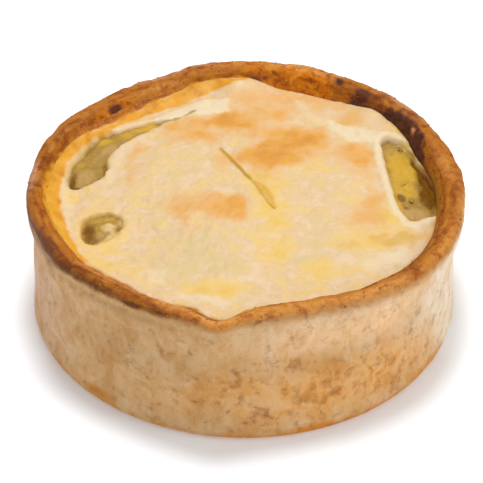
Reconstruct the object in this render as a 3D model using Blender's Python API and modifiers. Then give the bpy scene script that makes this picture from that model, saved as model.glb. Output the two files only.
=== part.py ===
"""
Onion pie: a round raised pie with a hot water crust, about 100 mm across and 34 mm tall.

It has three pieces. The crust case is the base, the wall and the browned rim in one. The pale
lid lies inside the rim. The onion filling fills the case up to the lid and shows in three gaps
at the lid's edge. Each piece is turned true and round first. Then all three are pushed out of
true together, as soft dough settles, so that they keep their clearance.
"""

import math

import bmesh
import bpy
from mathutils import Matrix, Vector, noise

MM = 0.001

# Driving sizes of the true pie, before the dough settles
RIM_RADIUS = 50.0 * MM
RIM_HEIGHT = 32.5 * MM
CREST_WIDTH = 5.2 * MM
CREST_ROUNDING = 2.4 * MM
CREST_SQUARENESS = 2.6
WALL_RADIUS = 48.0 * MM
WALL_THICKNESS = 4.4 * MM
LIP_BOTTOM = 20.0 * MM
BASE_THICKNESS = 4.0 * MM
BASE_CORNER = 1.8 * MM
BASE_FLARE = 0.5 * MM
BASE_FLARE_HEIGHT = 8.0 * MM
FLOOR_CORNER = 5.0 * MM
LID_EDGE_HEIGHT = 28.3 * MM
LID_THICKNESS = 2.8 * MM
LID_MOUND = 2.3 * MM
LID_EDGE_ROUNDING = 0.9 * MM
FILLING_BELOW_LID_TOP = 0.9 * MM
FIT_GAP = 0.35 * MM

# Fineness of the turned shapes
TURN_STEPS = 72
LID_RINGS = 9
RING_CROWDING = 1.25
MERGE_DISTANCE = 0.00002

# How the dough settled, as (angle round the pie, spread, change); angles run from +X towards +Y
WALL_BULGES = [(180, 50, 0.4 * MM), (0, 50, -0.7 * MM)]
RIM_LEANS = [
    (233, 22, -3.5 * MM),
    (283, 24, -4.4 * MM),
    (310, 24, -1.4 * MM),
    (262, 5, 1.1 * MM),
    (117, 9, -1.0 * MM),
    (136, 6, -0.5 * MM),
    (75, 40, 0.4 * MM),
    (0, 30, 0.3 * MM),
]
RIM_RISES = [(278, 55, 2.1 * MM), (262, 5, -1.0 * MM), (117, 9, -0.6 * MM), (136, 6, -0.3 * MM)]
CREST_THINNINGS = [(172, 32, 0.3), (235, 22, 0.2), (260, 8, 0.3), (300, 40, 0.2)]
SETTLE_FROM_HEIGHT = 15.0 * MM
SETTLE_FROM_RADIUS = 28.0 * MM
SETTLE_TO_RADIUS = 44.0 * MM
HAND_WAVE = 0.35 * MM
HAND_WAVE_LENGTH = 11.0 * MM
CREST_WAVE = 0.5 * MM
CREST_WAVE_LENGTH = 7.0 * MM

# Swellings and dips of the lid, as (x, y, spread, height)
LID_SWELLINGS = [
    (9 * MM, 13 * MM, 10 * MM, 0.9 * MM),
    (-6 * MM, -4 * MM, 9 * MM, 0.8 * MM),
    (-20 * MM, 12 * MM, 10 * MM, 0.9 * MM),
    (24 * MM, 2 * MM, 9 * MM, 0.7 * MM),
    (-26 * MM, -16 * MM, 9 * MM, -0.8 * MM),
    (12 * MM, -22 * MM, 10 * MM, -0.6 * MM),
    (2 * MM, 33 * MM, 8 * MM, 0.7 * MM),
]
LID_EDGE_RISES = [(92, 9, 2.9 * MM), (45, 14, 2.0 * MM), (259, 7, 1.4 * MM)]
LID_EDGE_RISE_FROM = 33.0 * MM
LID_WAVE = 0.35 * MM
LID_WAVE_LENGTH = 9.0 * MM

# Gaps at the lid's edge, as bent bands: angles in degrees, then radius and width at both ends
GAPS = {
    "left_crescent": dict(angles=(124, 174), radii=(35.8 * MM, 38.0 * MM), widths=(1.2 * MM, 6.8 * MM)),
    "small_hole": dict(angles=(189, 202.5), radii=(34.4 * MM, 35.2 * MM), widths=(6.6 * MM, 6.6 * MM)),
    "right_bite": dict(angles=(34, -10), radii=(38.6 * MM, 40.4 * MM), widths=(7.6 * MM, 8.6 * MM)),
}
GAP_STEPS = 14
GAP_ROUNDNESS = 4.0
GAP_CLEARANCE = 0.55 * MM
GAP_CUT_BOTTOM = 20.0 * MM

# The slit across the middle of the lid
SLIT_START = (-5.5 * MM, 17.0 * MM)
SLIT_END = (6.2 * MM, -4.4 * MM)
SLIT_LINE_WIDTH = 0.5 * MM
SLIT_EYE_WIDTH = 1.1 * MM
SLIT_DEPTH = 1.5 * MM
SLIT_WIDEST_AT = 0.8
SLIT_STEPS = 10

# Onion slices that show in the gaps
SLICE_LENGTH = 5.6 * MM
SLICE_WIDTH = 2.6 * MM
SLICE_THICKNESS = 2.0 * MM
SLICE_SPACING = 4.2 * MM
SLICE_SIDES = 8
SLICE_RINGS = 6
SLICE_TURN = 67.0

COLOURS = {
    "crust_case": (0.56, 0.33, 0.15, 1.0),
    "lid": (0.87, 0.68, 0.40, 1.0),
    "filling": (0.42, 0.29, 0.06, 1.0),
}
ROUGHNESS = {"crust_case": 0.75, "lid": 0.6, "filling": 0.35}


def smoothstep(start, end, value):
    """0 before start, 1 after end and a smooth rise between them."""
    t = min(max((value - start) / (end - start), 0.0), 1.0)
    return t * t * (3.0 - 2.0 * t)


def round_the_pie(changes, angle):
    """Sum of the soft local changes at an angle in degrees."""
    total = 0.0
    for centre, spread, change in changes:
        turn = (angle - centre + 180.0) % 360.0 - 180.0
        total += change * math.exp(-((turn / spread) ** 2))
    return total


def settled(point):
    """Where a point of the true pie ends up once the dough has settled."""
    radius = math.hypot(point.x, point.y)
    if radius == 0.0:
        return point.copy()
    angle = math.degrees(math.atan2(point.y, point.x))
    at_wall = smoothstep(SETTLE_FROM_RADIUS, SETTLE_TO_RADIUS, radius)
    at_rim = smoothstep(SETTLE_FROM_HEIGHT, RIM_HEIGHT, point.z)
    at_crest = smoothstep(LID_EDGE_HEIGHT, RIM_HEIGHT, point.z)
    above_base = smoothstep(0.0, 6.0 * MM, point.z)
    direction = Vector((point.x, point.y, 0.0)) / radius
    on_wall = direction * WALL_RADIUS + Vector((0.0, 0.0, point.z))

    wave = HAND_WAVE * noise.noise(on_wall / HAND_WAVE_LENGTH)
    crest_wave = CREST_WAVE * noise.noise(direction * WALL_RADIUS / CREST_WAVE_LENGTH)
    thinning = round_the_pie(CREST_THINNINGS, angle) * at_crest * at_wall
    moved = radius + max(RIM_RADIUS - radius, 0.0) * thinning
    moved += at_wall * round_the_pie(WALL_BULGES, angle)
    moved += at_wall * at_rim * round_the_pie(RIM_LEANS, angle)
    moved += at_wall * above_base * wave
    height = point.z + at_wall * at_rim * (round_the_pie(RIM_RISES, angle) + crest_wave)
    return direction * moved + Vector((0.0, 0.0, height))


def squared(value, squareness):
    """A cosine or sine, bent so that an ellipse gets fuller corners; 2 leaves it as it is."""
    return math.copysign(abs(value) ** (2.0 / squareness), value)


def arc(centre, radii, start, end, steps, squareness=2.0):
    """Points of an elliptical arc in the profile's plane, from one angle to another."""
    points = []
    for i in range(steps + 1):
        angle = math.radians(start + (end - start) * i / steps)
        across = radii[0] * squared(math.cos(angle), squareness)
        up = radii[1] * squared(math.sin(angle), squareness)
        points.append((centre[0] + across, centre[1] + up))
    return points


def inner_wall_heights():
    """Heights at which both the wall's inner face and the filling's side have a ring."""
    low = BASE_THICKNESS + FLOOR_CORNER
    high = LID_EDGE_HEIGHT - LID_THICKNESS
    return [low + (high - low) * i / 4 for i in range(1, 5)]


def case_profile():
    """Case outline: floor, inner wall, crest, lip, outer wall and base."""
    inner = WALL_RADIUS - WALL_THICKNESS
    crest_base = RIM_HEIGHT - CREST_ROUNDING
    crest_centre = (RIM_RADIUS - CREST_WIDTH / 2, crest_base)
    profile = [(0.0, BASE_THICKNESS), (inner / 2, BASE_THICKNESS)]
    profile += arc((inner - FLOOR_CORNER, BASE_THICKNESS + FLOOR_CORNER), (FLOOR_CORNER, FLOOR_CORNER), -90, 0, 4)
    profile += [(inner, height) for height in inner_wall_heights()]
    profile += [(inner, LID_EDGE_HEIGHT)]
    profile += arc(crest_centre, (CREST_WIDTH / 2, CREST_ROUNDING), 165, 0, 8, CREST_SQUARENESS)
    for i in range(1, 4):
        down = i / 4
        lip = smoothstep(1.0, 0.0, down)
        height = crest_base + (LIP_BOTTOM - crest_base) * down
        profile.append((WALL_RADIUS + (RIM_RADIUS - WALL_RADIUS) * lip, height))
    profile += [(WALL_RADIUS, LIP_BOTTOM), (WALL_RADIUS, (LIP_BOTTOM + BASE_FLARE_HEIGHT) / 2)]
    for i in range(3):
        down = i / 3
        height = BASE_FLARE_HEIGHT + (BASE_CORNER - BASE_FLARE_HEIGHT) * down
        profile.append((WALL_RADIUS + BASE_FLARE * smoothstep(0.0, 1.0, down), height))
    corner = (WALL_RADIUS + BASE_FLARE - BASE_CORNER, BASE_CORNER)
    profile += arc(corner, (BASE_CORNER, BASE_CORNER), 0, -90, 4)
    profile += [(WALL_RADIUS / 2, 0.0), (0.0, 0.0)]
    return profile


def lid_top(radius):
    """Height of the true lid's top face."""
    return LID_EDGE_HEIGHT + LID_MOUND * (1.0 - (radius / lid_radius()) ** 2)


def lid_radius():
    """Radius of the lid, a clearance inside the wall."""
    return WALL_RADIUS - WALL_THICKNESS - FIT_GAP


def ring_radii(last_radius):
    """Radii of the lid's and the filling's rings, closer together towards the wall."""
    return [last_radius * (1.0 - (1.0 - i / LID_RINGS) ** RING_CROWDING) for i in range(LID_RINGS + 1)]


def lid_profile():
    """Lid outline: mounded top face, rounded edge and the face underneath."""
    edge_start = lid_radius() - LID_EDGE_ROUNDING
    profile = [(radius, lid_top(radius)) for radius in ring_radii(edge_start)]
    shoulder = LID_EDGE_HEIGHT - LID_EDGE_ROUNDING
    profile += arc((edge_start, shoulder), (LID_EDGE_ROUNDING, LID_EDGE_ROUNDING), 60, 0, 2)
    profile += [(radius, lid_top(radius) - LID_THICKNESS) for radius in reversed(ring_radii(lid_radius()))]
    return profile


def filling_profile():
    """Filling outline: the face under the lid, the side along the wall and the floor."""
    side = WALL_RADIUS - WALL_THICKNESS - FIT_GAP
    corner = FLOOR_CORNER - FIT_GAP
    floor_corner = (WALL_RADIUS - WALL_THICKNESS - FLOOR_CORNER, BASE_THICKNESS + FLOOR_CORNER)
    profile = [(radius, lid_top(radius) - LID_THICKNESS - FIT_GAP) for radius in ring_radii(side)]
    profile += [(side, height) for height in reversed(inner_wall_heights()[:-1])]
    profile += arc(floor_corner, (corner, corner), 0, -90, 4)
    profile += [(side / 2, BASE_THICKNESS + FIT_GAP), (0.0, BASE_THICKNESS + FIT_GAP)]
    return profile


def plain_mesh(obj):
    """Mesh of an object with its modifiers applied, in world space."""
    evaluated = obj.evaluated_get(bpy.context.evaluated_depsgraph_get())
    mesh = bpy.data.meshes.new_from_object(evaluated)
    mesh.transform(obj.matrix_world)
    return mesh


def remove(obj):
    """Take an object out of the scene."""
    bpy.data.objects.remove(obj, do_unlink=True)


def new_object(name, mesh, collection):
    """An object for a mesh, in a collection."""
    obj = bpy.data.objects.new(name, mesh)
    collection.objects.link(obj)
    return obj


def turned(name, profile, collection):
    """A profile turned once round the pie's axis, as a plain mesh object."""
    mesh = bpy.data.meshes.new(name + "_profile")
    edges = [(i, i + 1) for i in range(len(profile) - 1)]
    mesh.from_pydata([(radius, 0.0, height) for radius, height in profile], edges, [])
    obj = new_object(name + "_profile", mesh, collection)
    screw = obj.modifiers.new("turn", "SCREW")
    screw.steps = TURN_STEPS
    screw.render_steps = TURN_STEPS
    screw.use_merge_vertices = True
    screw.merge_threshold = MERGE_DISTANCE
    bpy.context.view_layer.update()
    result = new_object(name, plain_mesh(obj), collection)
    remove(obj)
    return result


def band_outline(gap, inset=0.0):
    """Closed outline of a bent band with rounded ends, moved inwards by the inset."""
    first, last = gap["angles"]
    outer_side = []
    inner_side = []
    for i in range(GAP_STEPS + 1):
        t = i / GAP_STEPS
        ease = 0.5 - 0.5 * math.cos(math.pi * t)
        radius = gap["radii"][0] + (gap["radii"][1] - gap["radii"][0]) * ease
        width = gap["widths"][0] + (gap["widths"][1] - gap["widths"][0]) * ease
        end_inset = math.degrees(inset / radius) * (1.0 if last > first else -1.0)
        angle = math.radians(first + end_inset + (last - first - 2.0 * end_inset) * ease)
        closing = (1.0 - abs(2.0 * ease - 1.0) ** GAP_ROUNDNESS) ** (1.0 / GAP_ROUNDNESS)
        half = max(width / 2.0 - inset, 0.1 * MM) * closing
        direction = Vector((math.cos(angle), math.sin(angle)))
        outer_side.append(direction * (radius + half))
        inner_side.append(direction * (radius - half))
    return outer_side + inner_side[-2:0:-1]


def slit_outline():
    """Outline of the slit: a thin line that opens like an eye near its front end."""
    start = Vector(SLIT_START)
    end = Vector(SLIT_END)
    along = end - start
    across = Vector((-along.y, along.x)).normalized()
    one_side = []
    other_side = []
    for i in range(SLIT_STEPS + 1):
        t = i / SLIT_STEPS
        warped = t ** (math.log(0.5) / math.log(SLIT_WIDEST_AT))
        line = SLIT_LINE_WIDTH * math.sqrt(1.0 - (2.0 * t - 1.0) ** 2)
        half = (line + SLIT_EYE_WIDTH * math.sin(math.pi * warped)) / 2.0
        one_side.append(start + along * t + across * half)
        other_side.append(start + along * t - across * half)
    return one_side + other_side[-2:0:-1]


def prism(name, outline, bottom, top, collection):
    """A flat outline made as thick as the space between two heights."""
    curve = bpy.data.curves.new(name + "_curve", "CURVE")
    curve.dimensions = "2D"
    curve.fill_mode = "BOTH"
    curve.extrude = (top - bottom) / 2.0
    spline = curve.splines.new("POLY")
    spline.points.add(len(outline) - 1)
    for spline_point, place in zip(spline.points, outline):
        spline_point.co = (place[0], place[1], 0.0, 1.0)
    spline.use_cyclic_u = True
    obj = new_object(name + "_curve", curve, collection)
    obj.location.z = (top + bottom) / 2.0
    bpy.context.view_layer.update()
    mesh = plain_mesh(obj)
    remove(obj)
    shell = bmesh.new()
    shell.from_mesh(mesh)
    bmesh.ops.remove_doubles(shell, verts=shell.verts, dist=MERGE_DISTANCE)
    bmesh.ops.recalc_face_normals(shell, faces=shell.faces)
    shell.to_mesh(mesh)
    shell.free()
    return new_object(name, mesh, collection)


def combined(obj, others, operation, collection):
    """The object joined with, cut by or kept inside each of the others, which are then removed."""
    for other in others:
        boolean = obj.modifiers.new(other.name, "BOOLEAN")
        boolean.operation = operation
        boolean.solver = "EXACT"
        boolean.object = other
    bpy.context.view_layer.update()
    name = obj.name
    mesh = plain_mesh(obj)
    remove(obj)
    for other in others:
        remove(other)
    mesh.name = name
    return new_object(name, mesh, collection)


def onion_slice(name, place, turn, collection):
    """One soft onion slice: a flattened ball, longer than it is wide."""
    mesh = bpy.data.meshes.new(name)
    ball = bmesh.new()
    bmesh.ops.create_uvsphere(ball, u_segments=SLICE_SIDES, v_segments=SLICE_RINGS, radius=0.5)
    size = Matrix.Diagonal((SLICE_LENGTH, SLICE_WIDTH, SLICE_THICKNESS, 1.0))
    matrix = Matrix.Translation(place) @ Matrix.Rotation(turn, 4, "Z") @ size
    bmesh.ops.transform(ball, matrix=matrix, verts=ball.verts)
    ball.to_mesh(mesh)
    ball.free()
    return new_object(name, mesh, collection)


def slices_in_gap(gap_name, gap, collection):
    """Onion slices laid along a gap, turned by a fixed step from one to the next."""
    first, last = gap["angles"]
    middle_radius = sum(gap["radii"]) / 2.0
    length = abs(math.radians(last - first)) * middle_radius
    count = max(int(length / SLICE_SPACING), 1)
    slices = []
    for i in range(count):
        t = (i + 0.5) / count
        angle = math.radians(first + (last - first) * t)
        radius = gap["radii"][0] + (gap["radii"][1] - gap["radii"][0]) * t
        side = (0.25 if i % 2 else -0.25) * gap["widths"][1] * t
        height = lid_top(radius) - FILLING_BELOW_LID_TOP
        place = Vector((math.cos(angle), math.sin(angle), 0.0)) * (radius + side)
        place.z = height
        turn = angle + math.radians(90.0 + SLICE_TURN * (i % 3 - 1) / 2.0)
        slices.append(onion_slice(f"{gap_name}_slice_{i}", place, turn, collection))
    return slices


def lid_relief(x, y):
    """How much the lid's top stands above or below its smooth mound."""
    relief = LID_WAVE * noise.noise(Vector((x, y, 0.0)) / LID_WAVE_LENGTH)
    for centre_x, centre_y, spread, height in LID_SWELLINGS:
        away = math.hypot(x - centre_x, y - centre_y)
        relief += height * math.exp(-((away / spread) ** 2))
    radius = math.hypot(x, y)
    relief *= smoothstep(lid_radius(), lid_radius() * 0.85, radius)
    edge_rise = round_the_pie(LID_EDGE_RISES, math.degrees(math.atan2(y, x)))
    return relief + edge_rise * smoothstep(LID_EDGE_RISE_FROM, lid_radius(), radius)


def move_vertices(obj, place):
    """Give every vertex of an object the place that a function works out from its old one."""
    for vertex in obj.data.vertices:
        vertex.co = place(vertex.co)
    obj.data.update()


def raised_by_relief(point):
    """A point of the true lid, moved by the relief as far as it lies towards the top face."""
    underside = lid_top(math.hypot(point.x, point.y)) - LID_THICKNESS
    towards_top = min(max((point.z - underside) / LID_THICKNESS, 0.0), 1.0)
    return Vector((point.x, point.y, point.z + lid_relief(point.x, point.y) * towards_top))


def make_case(pie):
    """The crust case, turned in one piece."""
    return turned("crust_case", case_profile(), pie)


def make_lid(pie, cutters):
    """The lid with its relief, its three gaps and the slit."""
    lid = turned("lid", lid_profile(), pie)
    move_vertices(lid, raised_by_relief)
    cuts = []
    for gap_name, gap in GAPS.items():
        cuts.append(prism(gap_name, band_outline(gap), GAP_CUT_BOTTOM, RIM_HEIGHT + LID_MOUND, cutters))
    middle = (Vector(SLIT_START) + Vector(SLIT_END)) / 2.0
    slit_bottom = lid_top(middle.length) + lid_relief(middle.x, middle.y) - SLIT_DEPTH
    cuts.append(prism("slit", slit_outline(), slit_bottom, RIM_HEIGHT + LID_MOUND, cutters))
    return combined(lid, cuts, "DIFFERENCE", pie)


def make_filling(pie, cutters):
    """The filling, with a block and onion slices that rise into each gap of the lid."""
    filling = turned("filling", filling_profile(), pie)
    added = []
    for gap_name, gap in GAPS.items():
        outline = band_outline(gap, GAP_CLEARANCE)
        block_top = LID_EDGE_HEIGHT - FILLING_BELOW_LID_TOP
        block = prism(gap_name + "_block", outline, GAP_CUT_BOTTOM, block_top, cutters)
        slices = slices_in_gap(gap_name, gap, cutters)
        heap = combined(block, slices, "UNION", cutters)
        room = prism(gap_name + "_room", outline, GAP_CUT_BOTTOM + MM, RIM_HEIGHT, cutters)
        case_room = turned(gap_name + "_case_room", case_room_profile(), cutters)
        added.append(combined(heap, [room, case_room], "INTERSECT", cutters))
    return combined(filling, added, "UNION", pie)


def case_room_profile():
    """A plain drum a clearance inside the wall, which the filling stays in."""
    side = WALL_RADIUS - WALL_THICKNESS - FIT_GAP
    return [(0.0, RIM_HEIGHT), (side, RIM_HEIGHT), (side, BASE_THICKNESS), (0.0, BASE_THICKNESS)]


def material_for(name):
    """Plain material with the piece's main colour."""
    material = bpy.data.materials.new(name)
    material.use_nodes = True
    shader = material.node_tree.nodes["Principled BSDF"]
    shader.inputs["Base Color"].default_value = COLOURS[name]
    shader.inputs["Roughness"].default_value = ROUGHNESS[name]
    shader.inputs["Metallic"].default_value = 0.0
    material.diffuse_color = COLOURS[name]
    return material


def stand_on_origin(pieces):
    """Move the whole pie so that the middle of its box is over the origin and its base is at 0."""
    corners = [vertex.co for piece in pieces for vertex in piece.data.vertices]
    lowest = Vector([min(corner[axis] for corner in corners) for axis in range(3)])
    highest = Vector([max(corner[axis] for corner in corners) for axis in range(3)])
    shift = Vector((-(lowest.x + highest.x) / 2.0, -(lowest.y + highest.y) / 2.0, -lowest.z))
    for piece in pieces:
        piece.data.transform(Matrix.Translation(shift))


def clear_scene():
    """Remove whatever the scene holds."""
    for obj in list(bpy.data.objects):
        remove(obj)


def main():
    clear_scene()
    pie = bpy.data.collections.new("onion_pie")
    cutters = bpy.data.collections.new("cutters")
    bpy.context.scene.collection.children.link(pie)
    bpy.context.scene.collection.children.link(cutters)
    pieces = [make_case(pie), make_lid(pie, cutters), make_filling(pie, cutters)]
    for piece in pieces:
        move_vertices(piece, settled)
        piece.data.materials.clear()
        piece.data.materials.append(material_for(piece.name))
        piece.data.shade_smooth()
        piece.data.set_sharp_from_angle(angle=math.radians(40.0))
    stand_on_origin(pieces)


main()
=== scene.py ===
"""
Onion pie: the looks of a round raised pie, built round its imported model.

Three baked pieces stand for the model's solids: the crust case, the lid and the onion filling.
Crumbs, flour and onion shreds lie on them. Each shape is worked out in millimetres on a true
round pie. Then the dough settles, which pushes every piece out of true alike.
"""

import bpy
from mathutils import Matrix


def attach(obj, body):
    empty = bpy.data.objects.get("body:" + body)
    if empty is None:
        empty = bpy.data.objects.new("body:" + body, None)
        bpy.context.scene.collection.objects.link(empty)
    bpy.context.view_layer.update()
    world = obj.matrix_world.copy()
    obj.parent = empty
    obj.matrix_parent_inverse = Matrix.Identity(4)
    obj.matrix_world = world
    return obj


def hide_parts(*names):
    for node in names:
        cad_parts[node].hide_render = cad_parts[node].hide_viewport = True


bl_info = {
    "name": "Onion Pie",
    "version": (1, 0, 0),
    "blender": (4, 5, 0),
    "location": "View3D > Sidebar > Onion Pie",
    "description": "Builds a baked onion pie and the pale stage that it stands on",
    "category": "Add Mesh",
}

import math

import bmesh
import bpy
import numpy as np
from mathutils import Vector, noise

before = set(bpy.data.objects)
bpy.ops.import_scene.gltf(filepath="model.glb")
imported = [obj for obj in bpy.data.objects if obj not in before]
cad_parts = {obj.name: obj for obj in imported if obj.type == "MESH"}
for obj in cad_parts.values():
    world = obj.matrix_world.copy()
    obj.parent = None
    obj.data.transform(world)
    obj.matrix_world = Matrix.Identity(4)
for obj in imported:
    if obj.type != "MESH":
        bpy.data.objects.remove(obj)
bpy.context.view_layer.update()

MM = 0.001
BODY = "root"

# The true pie, in millimetres, as the model has it
RIM_RADIUS = 50.0
RIM_HEIGHT = 32.5
CREST_WIDTH = 5.2
CREST_ROUNDING = 2.4
CREST_SQUARENESS = 2.6
WALL_RADIUS = 48.0
WALL_THICKNESS = 4.4
LIP_BOTTOM = 20.0
BASE_THICKNESS = 4.0
BASE_CORNER = 1.8
BASE_FLARE = 0.5
BASE_FLARE_HEIGHT = 8.0
FLOOR_CORNER = 5.0
LID_EDGE_HEIGHT = 28.3
LID_THICKNESS = 2.8
LID_MOUND = 2.3
LID_EDGE_ROUNDING = 0.9
FIT_GAP = 0.35
INNER_RADIUS = WALL_RADIUS - WALL_THICKNESS
LID_RADIUS = INNER_RADIUS - FIT_GAP
FILLING_RADIUS = INNER_RADIUS - FIT_GAP
CREST_MIDDLE = RIM_RADIUS - CREST_WIDTH / 2
CREST_BASE = RIM_HEIGHT - CREST_ROUNDING
SLOPE_TOP = (44.87, 30.95)
LIP_STEPS = 18
FLARE_STEPS = 12

# How the dough settled, as (angle round the pie, spread, change); angles run from +X towards +Y
WALL_BULGES = [(182, 50, 1.0), (0, 50, -0.25)]
RIM_LEANS = [
    (180, 25, -0.5), (196, 14, -1.3), (233, 22, -3.5), (283, 24, -4.4), (310, 24, -1.4), (262, 5, 1.1),
    (118, 12, -1.25), (136, 8, -0.75), (62, 7, -0.4), (75, 40, 0.4), (0, 30, 0.3),
]
RIM_RISES = [(278, 55, 2.1), (262, 5, -1.0), (117, 9, -0.6), (136, 6, -0.3)]
CREST_THINNINGS = [(172, 32, 0.3), (235, 22, 0.2), (260, 8, 0.3), (300, 40, 0.2)]
SETTLE_FROM_HEIGHT = 15.0
SETTLE_FROM_RADIUS = 28.0
SETTLE_TO_RADIUS = 44.0
STILL_BASE_HEIGHT = 6.0
HAND_WAVE = 0.35
HAND_WAVE_LENGTH = 11.0
CREST_WAVE = 0.5
CREST_WAVE_LENGTH = 7.0
PIE_AXIS = (0.562, -0.905)

# Swellings and dips of the lid, as (x, y, spread, height), and the raised stretches of its edge
LID_SWELLINGS = [
    (9, 13, 10, 0.9), (-6, -4, 9, 0.8), (-20, 12, 10, 0.9), (24, 2, 9, 0.7), (-26, -16, 9, -0.8),
    (12, -22, 10, -0.6), (2, 33, 8, 0.7),
]
LID_EDGE_RISES = [(92, 9, 2.9), (45, 14, 2.0), (259, 7, 1.4)]
LID_EDGE_RISE_FROM = 33.0
LID_WAVE = 0.35
LID_WAVE_LENGTH = 9.0
# How the lid climbs the rim's golden slope and reaches it, in height and from a radius outwards
LID_CLIMB = 2.4
LID_CLIMB_FROM = 40.3
LID_REACH_FROM = 39.0
LID_OVERLAP = 0.25

# Outlines of the three gaps in the lid, as points that a smooth closed curve runs through
GAP_OUTLINES = {
    "left_crescent": [
        (-20.2, 30.2), (-25.0, 29.0), (-29.0, 27.0), (-33.5, 24.8), (-36.8, 19.2), (-39.6, 13.0),
        (-40.4, 8.5), (-39.6, 5.8), (-36.3, 6.4), (-33.2, 8.8), (-31.9, 12.5), (-32.0, 16.2),
        (-29.2, 21.0), (-24.8, 25.4),
    ],
    "small_hole": [
        (-37.7, -8.6), (-36.6, -6.0), (-33.8, -4.7), (-30.2, -4.9), (-28.3, -7.2), (-29.2, -10.4),
        (-31.8, -12.6), (-34.8, -14.4), (-37.2, -12.8),
    ],
    "right_bite": [
        (31.6, 21.2), (33.9, 22.2), (37.2, 20.6), (39.2, 17.0), (40.6, 12.5), (42.6, 7.0),
        (43.5, 1.5), (43.2, -3.4), (40.4, -5.2), (37.6, -6.2), (35.6, -3.4), (34.2, 2.0),
        (33.2, 8.5), (32.4, 15.0),
    ],
}
OUTLINE_STEPS = 6
GAPS_FROM_RADIUS = 26.0
GAP_INSET = 0.5
CUTTER_HEIGHT = 20.0
CUTTER_DROP = 8.0
MERGE_DISTANCE = 0.00001
TINY = 1e-6

# Relief of the baked surface: the sizes of its grains, and how high or deep its forms are
CRAG_SIZES = (4.2, 1.6)
DENT_SIZES = (6.0, 2.4)
RIM_CREASES = [(203, 10, 0.5), (234, 20, 0.45)]
CREASE_HEIGHT = 29.2
CREASE_WIDTH = 0.8
CRUMPLE_SIZES = (4.6, 1.5)
SLIT_DEPTH = 0.22
EYE_DEPTH = 0.2
CRACK_DEPTH = 0.4
TORN_LIP_HEIGHT = 0.2
GAP_DEPTH = 2.3
SLIVER_DROP = 0.8
LUMP_SIZES = (3.0, 1.5)
LUMP_HEIGHTS = (0.4, 0.25)
HOLLOW_DEPTH = 0.5
SIDE_DIP = 0.6
BIT_HEIGHT = 0.6

# Stretches round the pie, in degrees: where each starts, is full, fades and ends
GOLD_STRETCH = (84.0, 92.0, 208.0, 214.0)
CHAR_STRETCH = (16.0, 22.0, 55.0, 59.0)
# Where the inner rim darkens to olive-brown by the gap at the right: painted shade of the recess
RECESS_SHADE_STRETCH = (-12.0, -5.0, 10.0, 20.0)
SMOOTH_STRETCH = (93.0, 98.0, 195.0, 205.0)
# Heights on the case over which some of its looks come in
RIM_LOOKS_FROM = (24.0, 26.0)
RIM_CRUMBS_FROM = (28.0, 30.0)
RIM_SPOTS_FROM = 29.0
RECESS_SHADE_FROM = (30.2, 28.6)
FLOUR_FROM = (2.0, 6.0)

# The browned rim: heights on the true pie, at angles round it, above which the crust is browned
BROWN_FROM = [
    (0, 31), (20, 29), (40, 28), (180, 28), (192, 30), (200, 31), (212, 31.2), (228, 30.9), (250, 31),
    (262, 31), (280, 30.7), (300, 30.7), (315, 30.1), (332, 29.8), (342, 30.5), (352, 31.4), (360, 31),
]
# How tall the fade from wall to browned rim is, at angles round the pie
BROWN_FADE = [
    (0, 2.6), (185, 2.2), (200, 2.2), (250, 2.4), (262, 2.2), (285, 3.2), (300, 4), (325, 4.4), (360, 2.6),
]
# How dark the line along the rim's lower outer edge is, at angles round the pie: painted shade under the
# overhanging crest, over darker browning
RIM_UNDERLINE_SHADE = [
    (0, 0), (180, 0.7), (190, 1), (214, 1), (222, 0.75), (248, 0.6), (258, 0), (272, 0.15), (288, 0.1),
    (302, 0), (360, 0),
]
# The golden slope inside the rim: from these radii out to these, at angles round the pie
GOLD_OUT_FROM = [
    (84, 43.4), (92, 42.6), (100, 41.6), (108, 41.2), (116, 40.9), (124, 40.9), (132, 41.4), (140, 41.7),
    (148, 42.5), (156, 42.6), (164, 42.8), (172, 42.6), (180, 42.2), (188, 42.1), (196, 42.2), (204, 42.1),
    (212, 42.2),
]
GOLD_OUT_TO = [
    (84, 42.6), (92, 43.6), (100, 44.8), (108, 44.6), (116, 43.9), (124, 43.3), (132, 43), (140, 43.2),
    (148, 43.8), (156, 44.3), (164, 44.6), (172, 44.9), (180, 45), (188, 45.1), (196, 44.6), (204, 43.7),
    (212, 42.8),
]
# The charred stretch of the inner rim: out to these radii, but for a few painted glints where the char is
# left out
CHAR_OUT_TO = [
    (10, 43), (18, 43.6), (22, 44.5), (26, 45.6), (30, 46.5), (34, 46.8), (38, 46.5), (42, 45.5),
    (46, 44.7), (50, 44.5), (54, 44.7), (58, 44.3),
]
CHAR_GLINTS = [(31, 45.2, 0.9, 0.5, 1.0), (25, 44.9, 0.7, 0.4, 0.4)]
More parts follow.
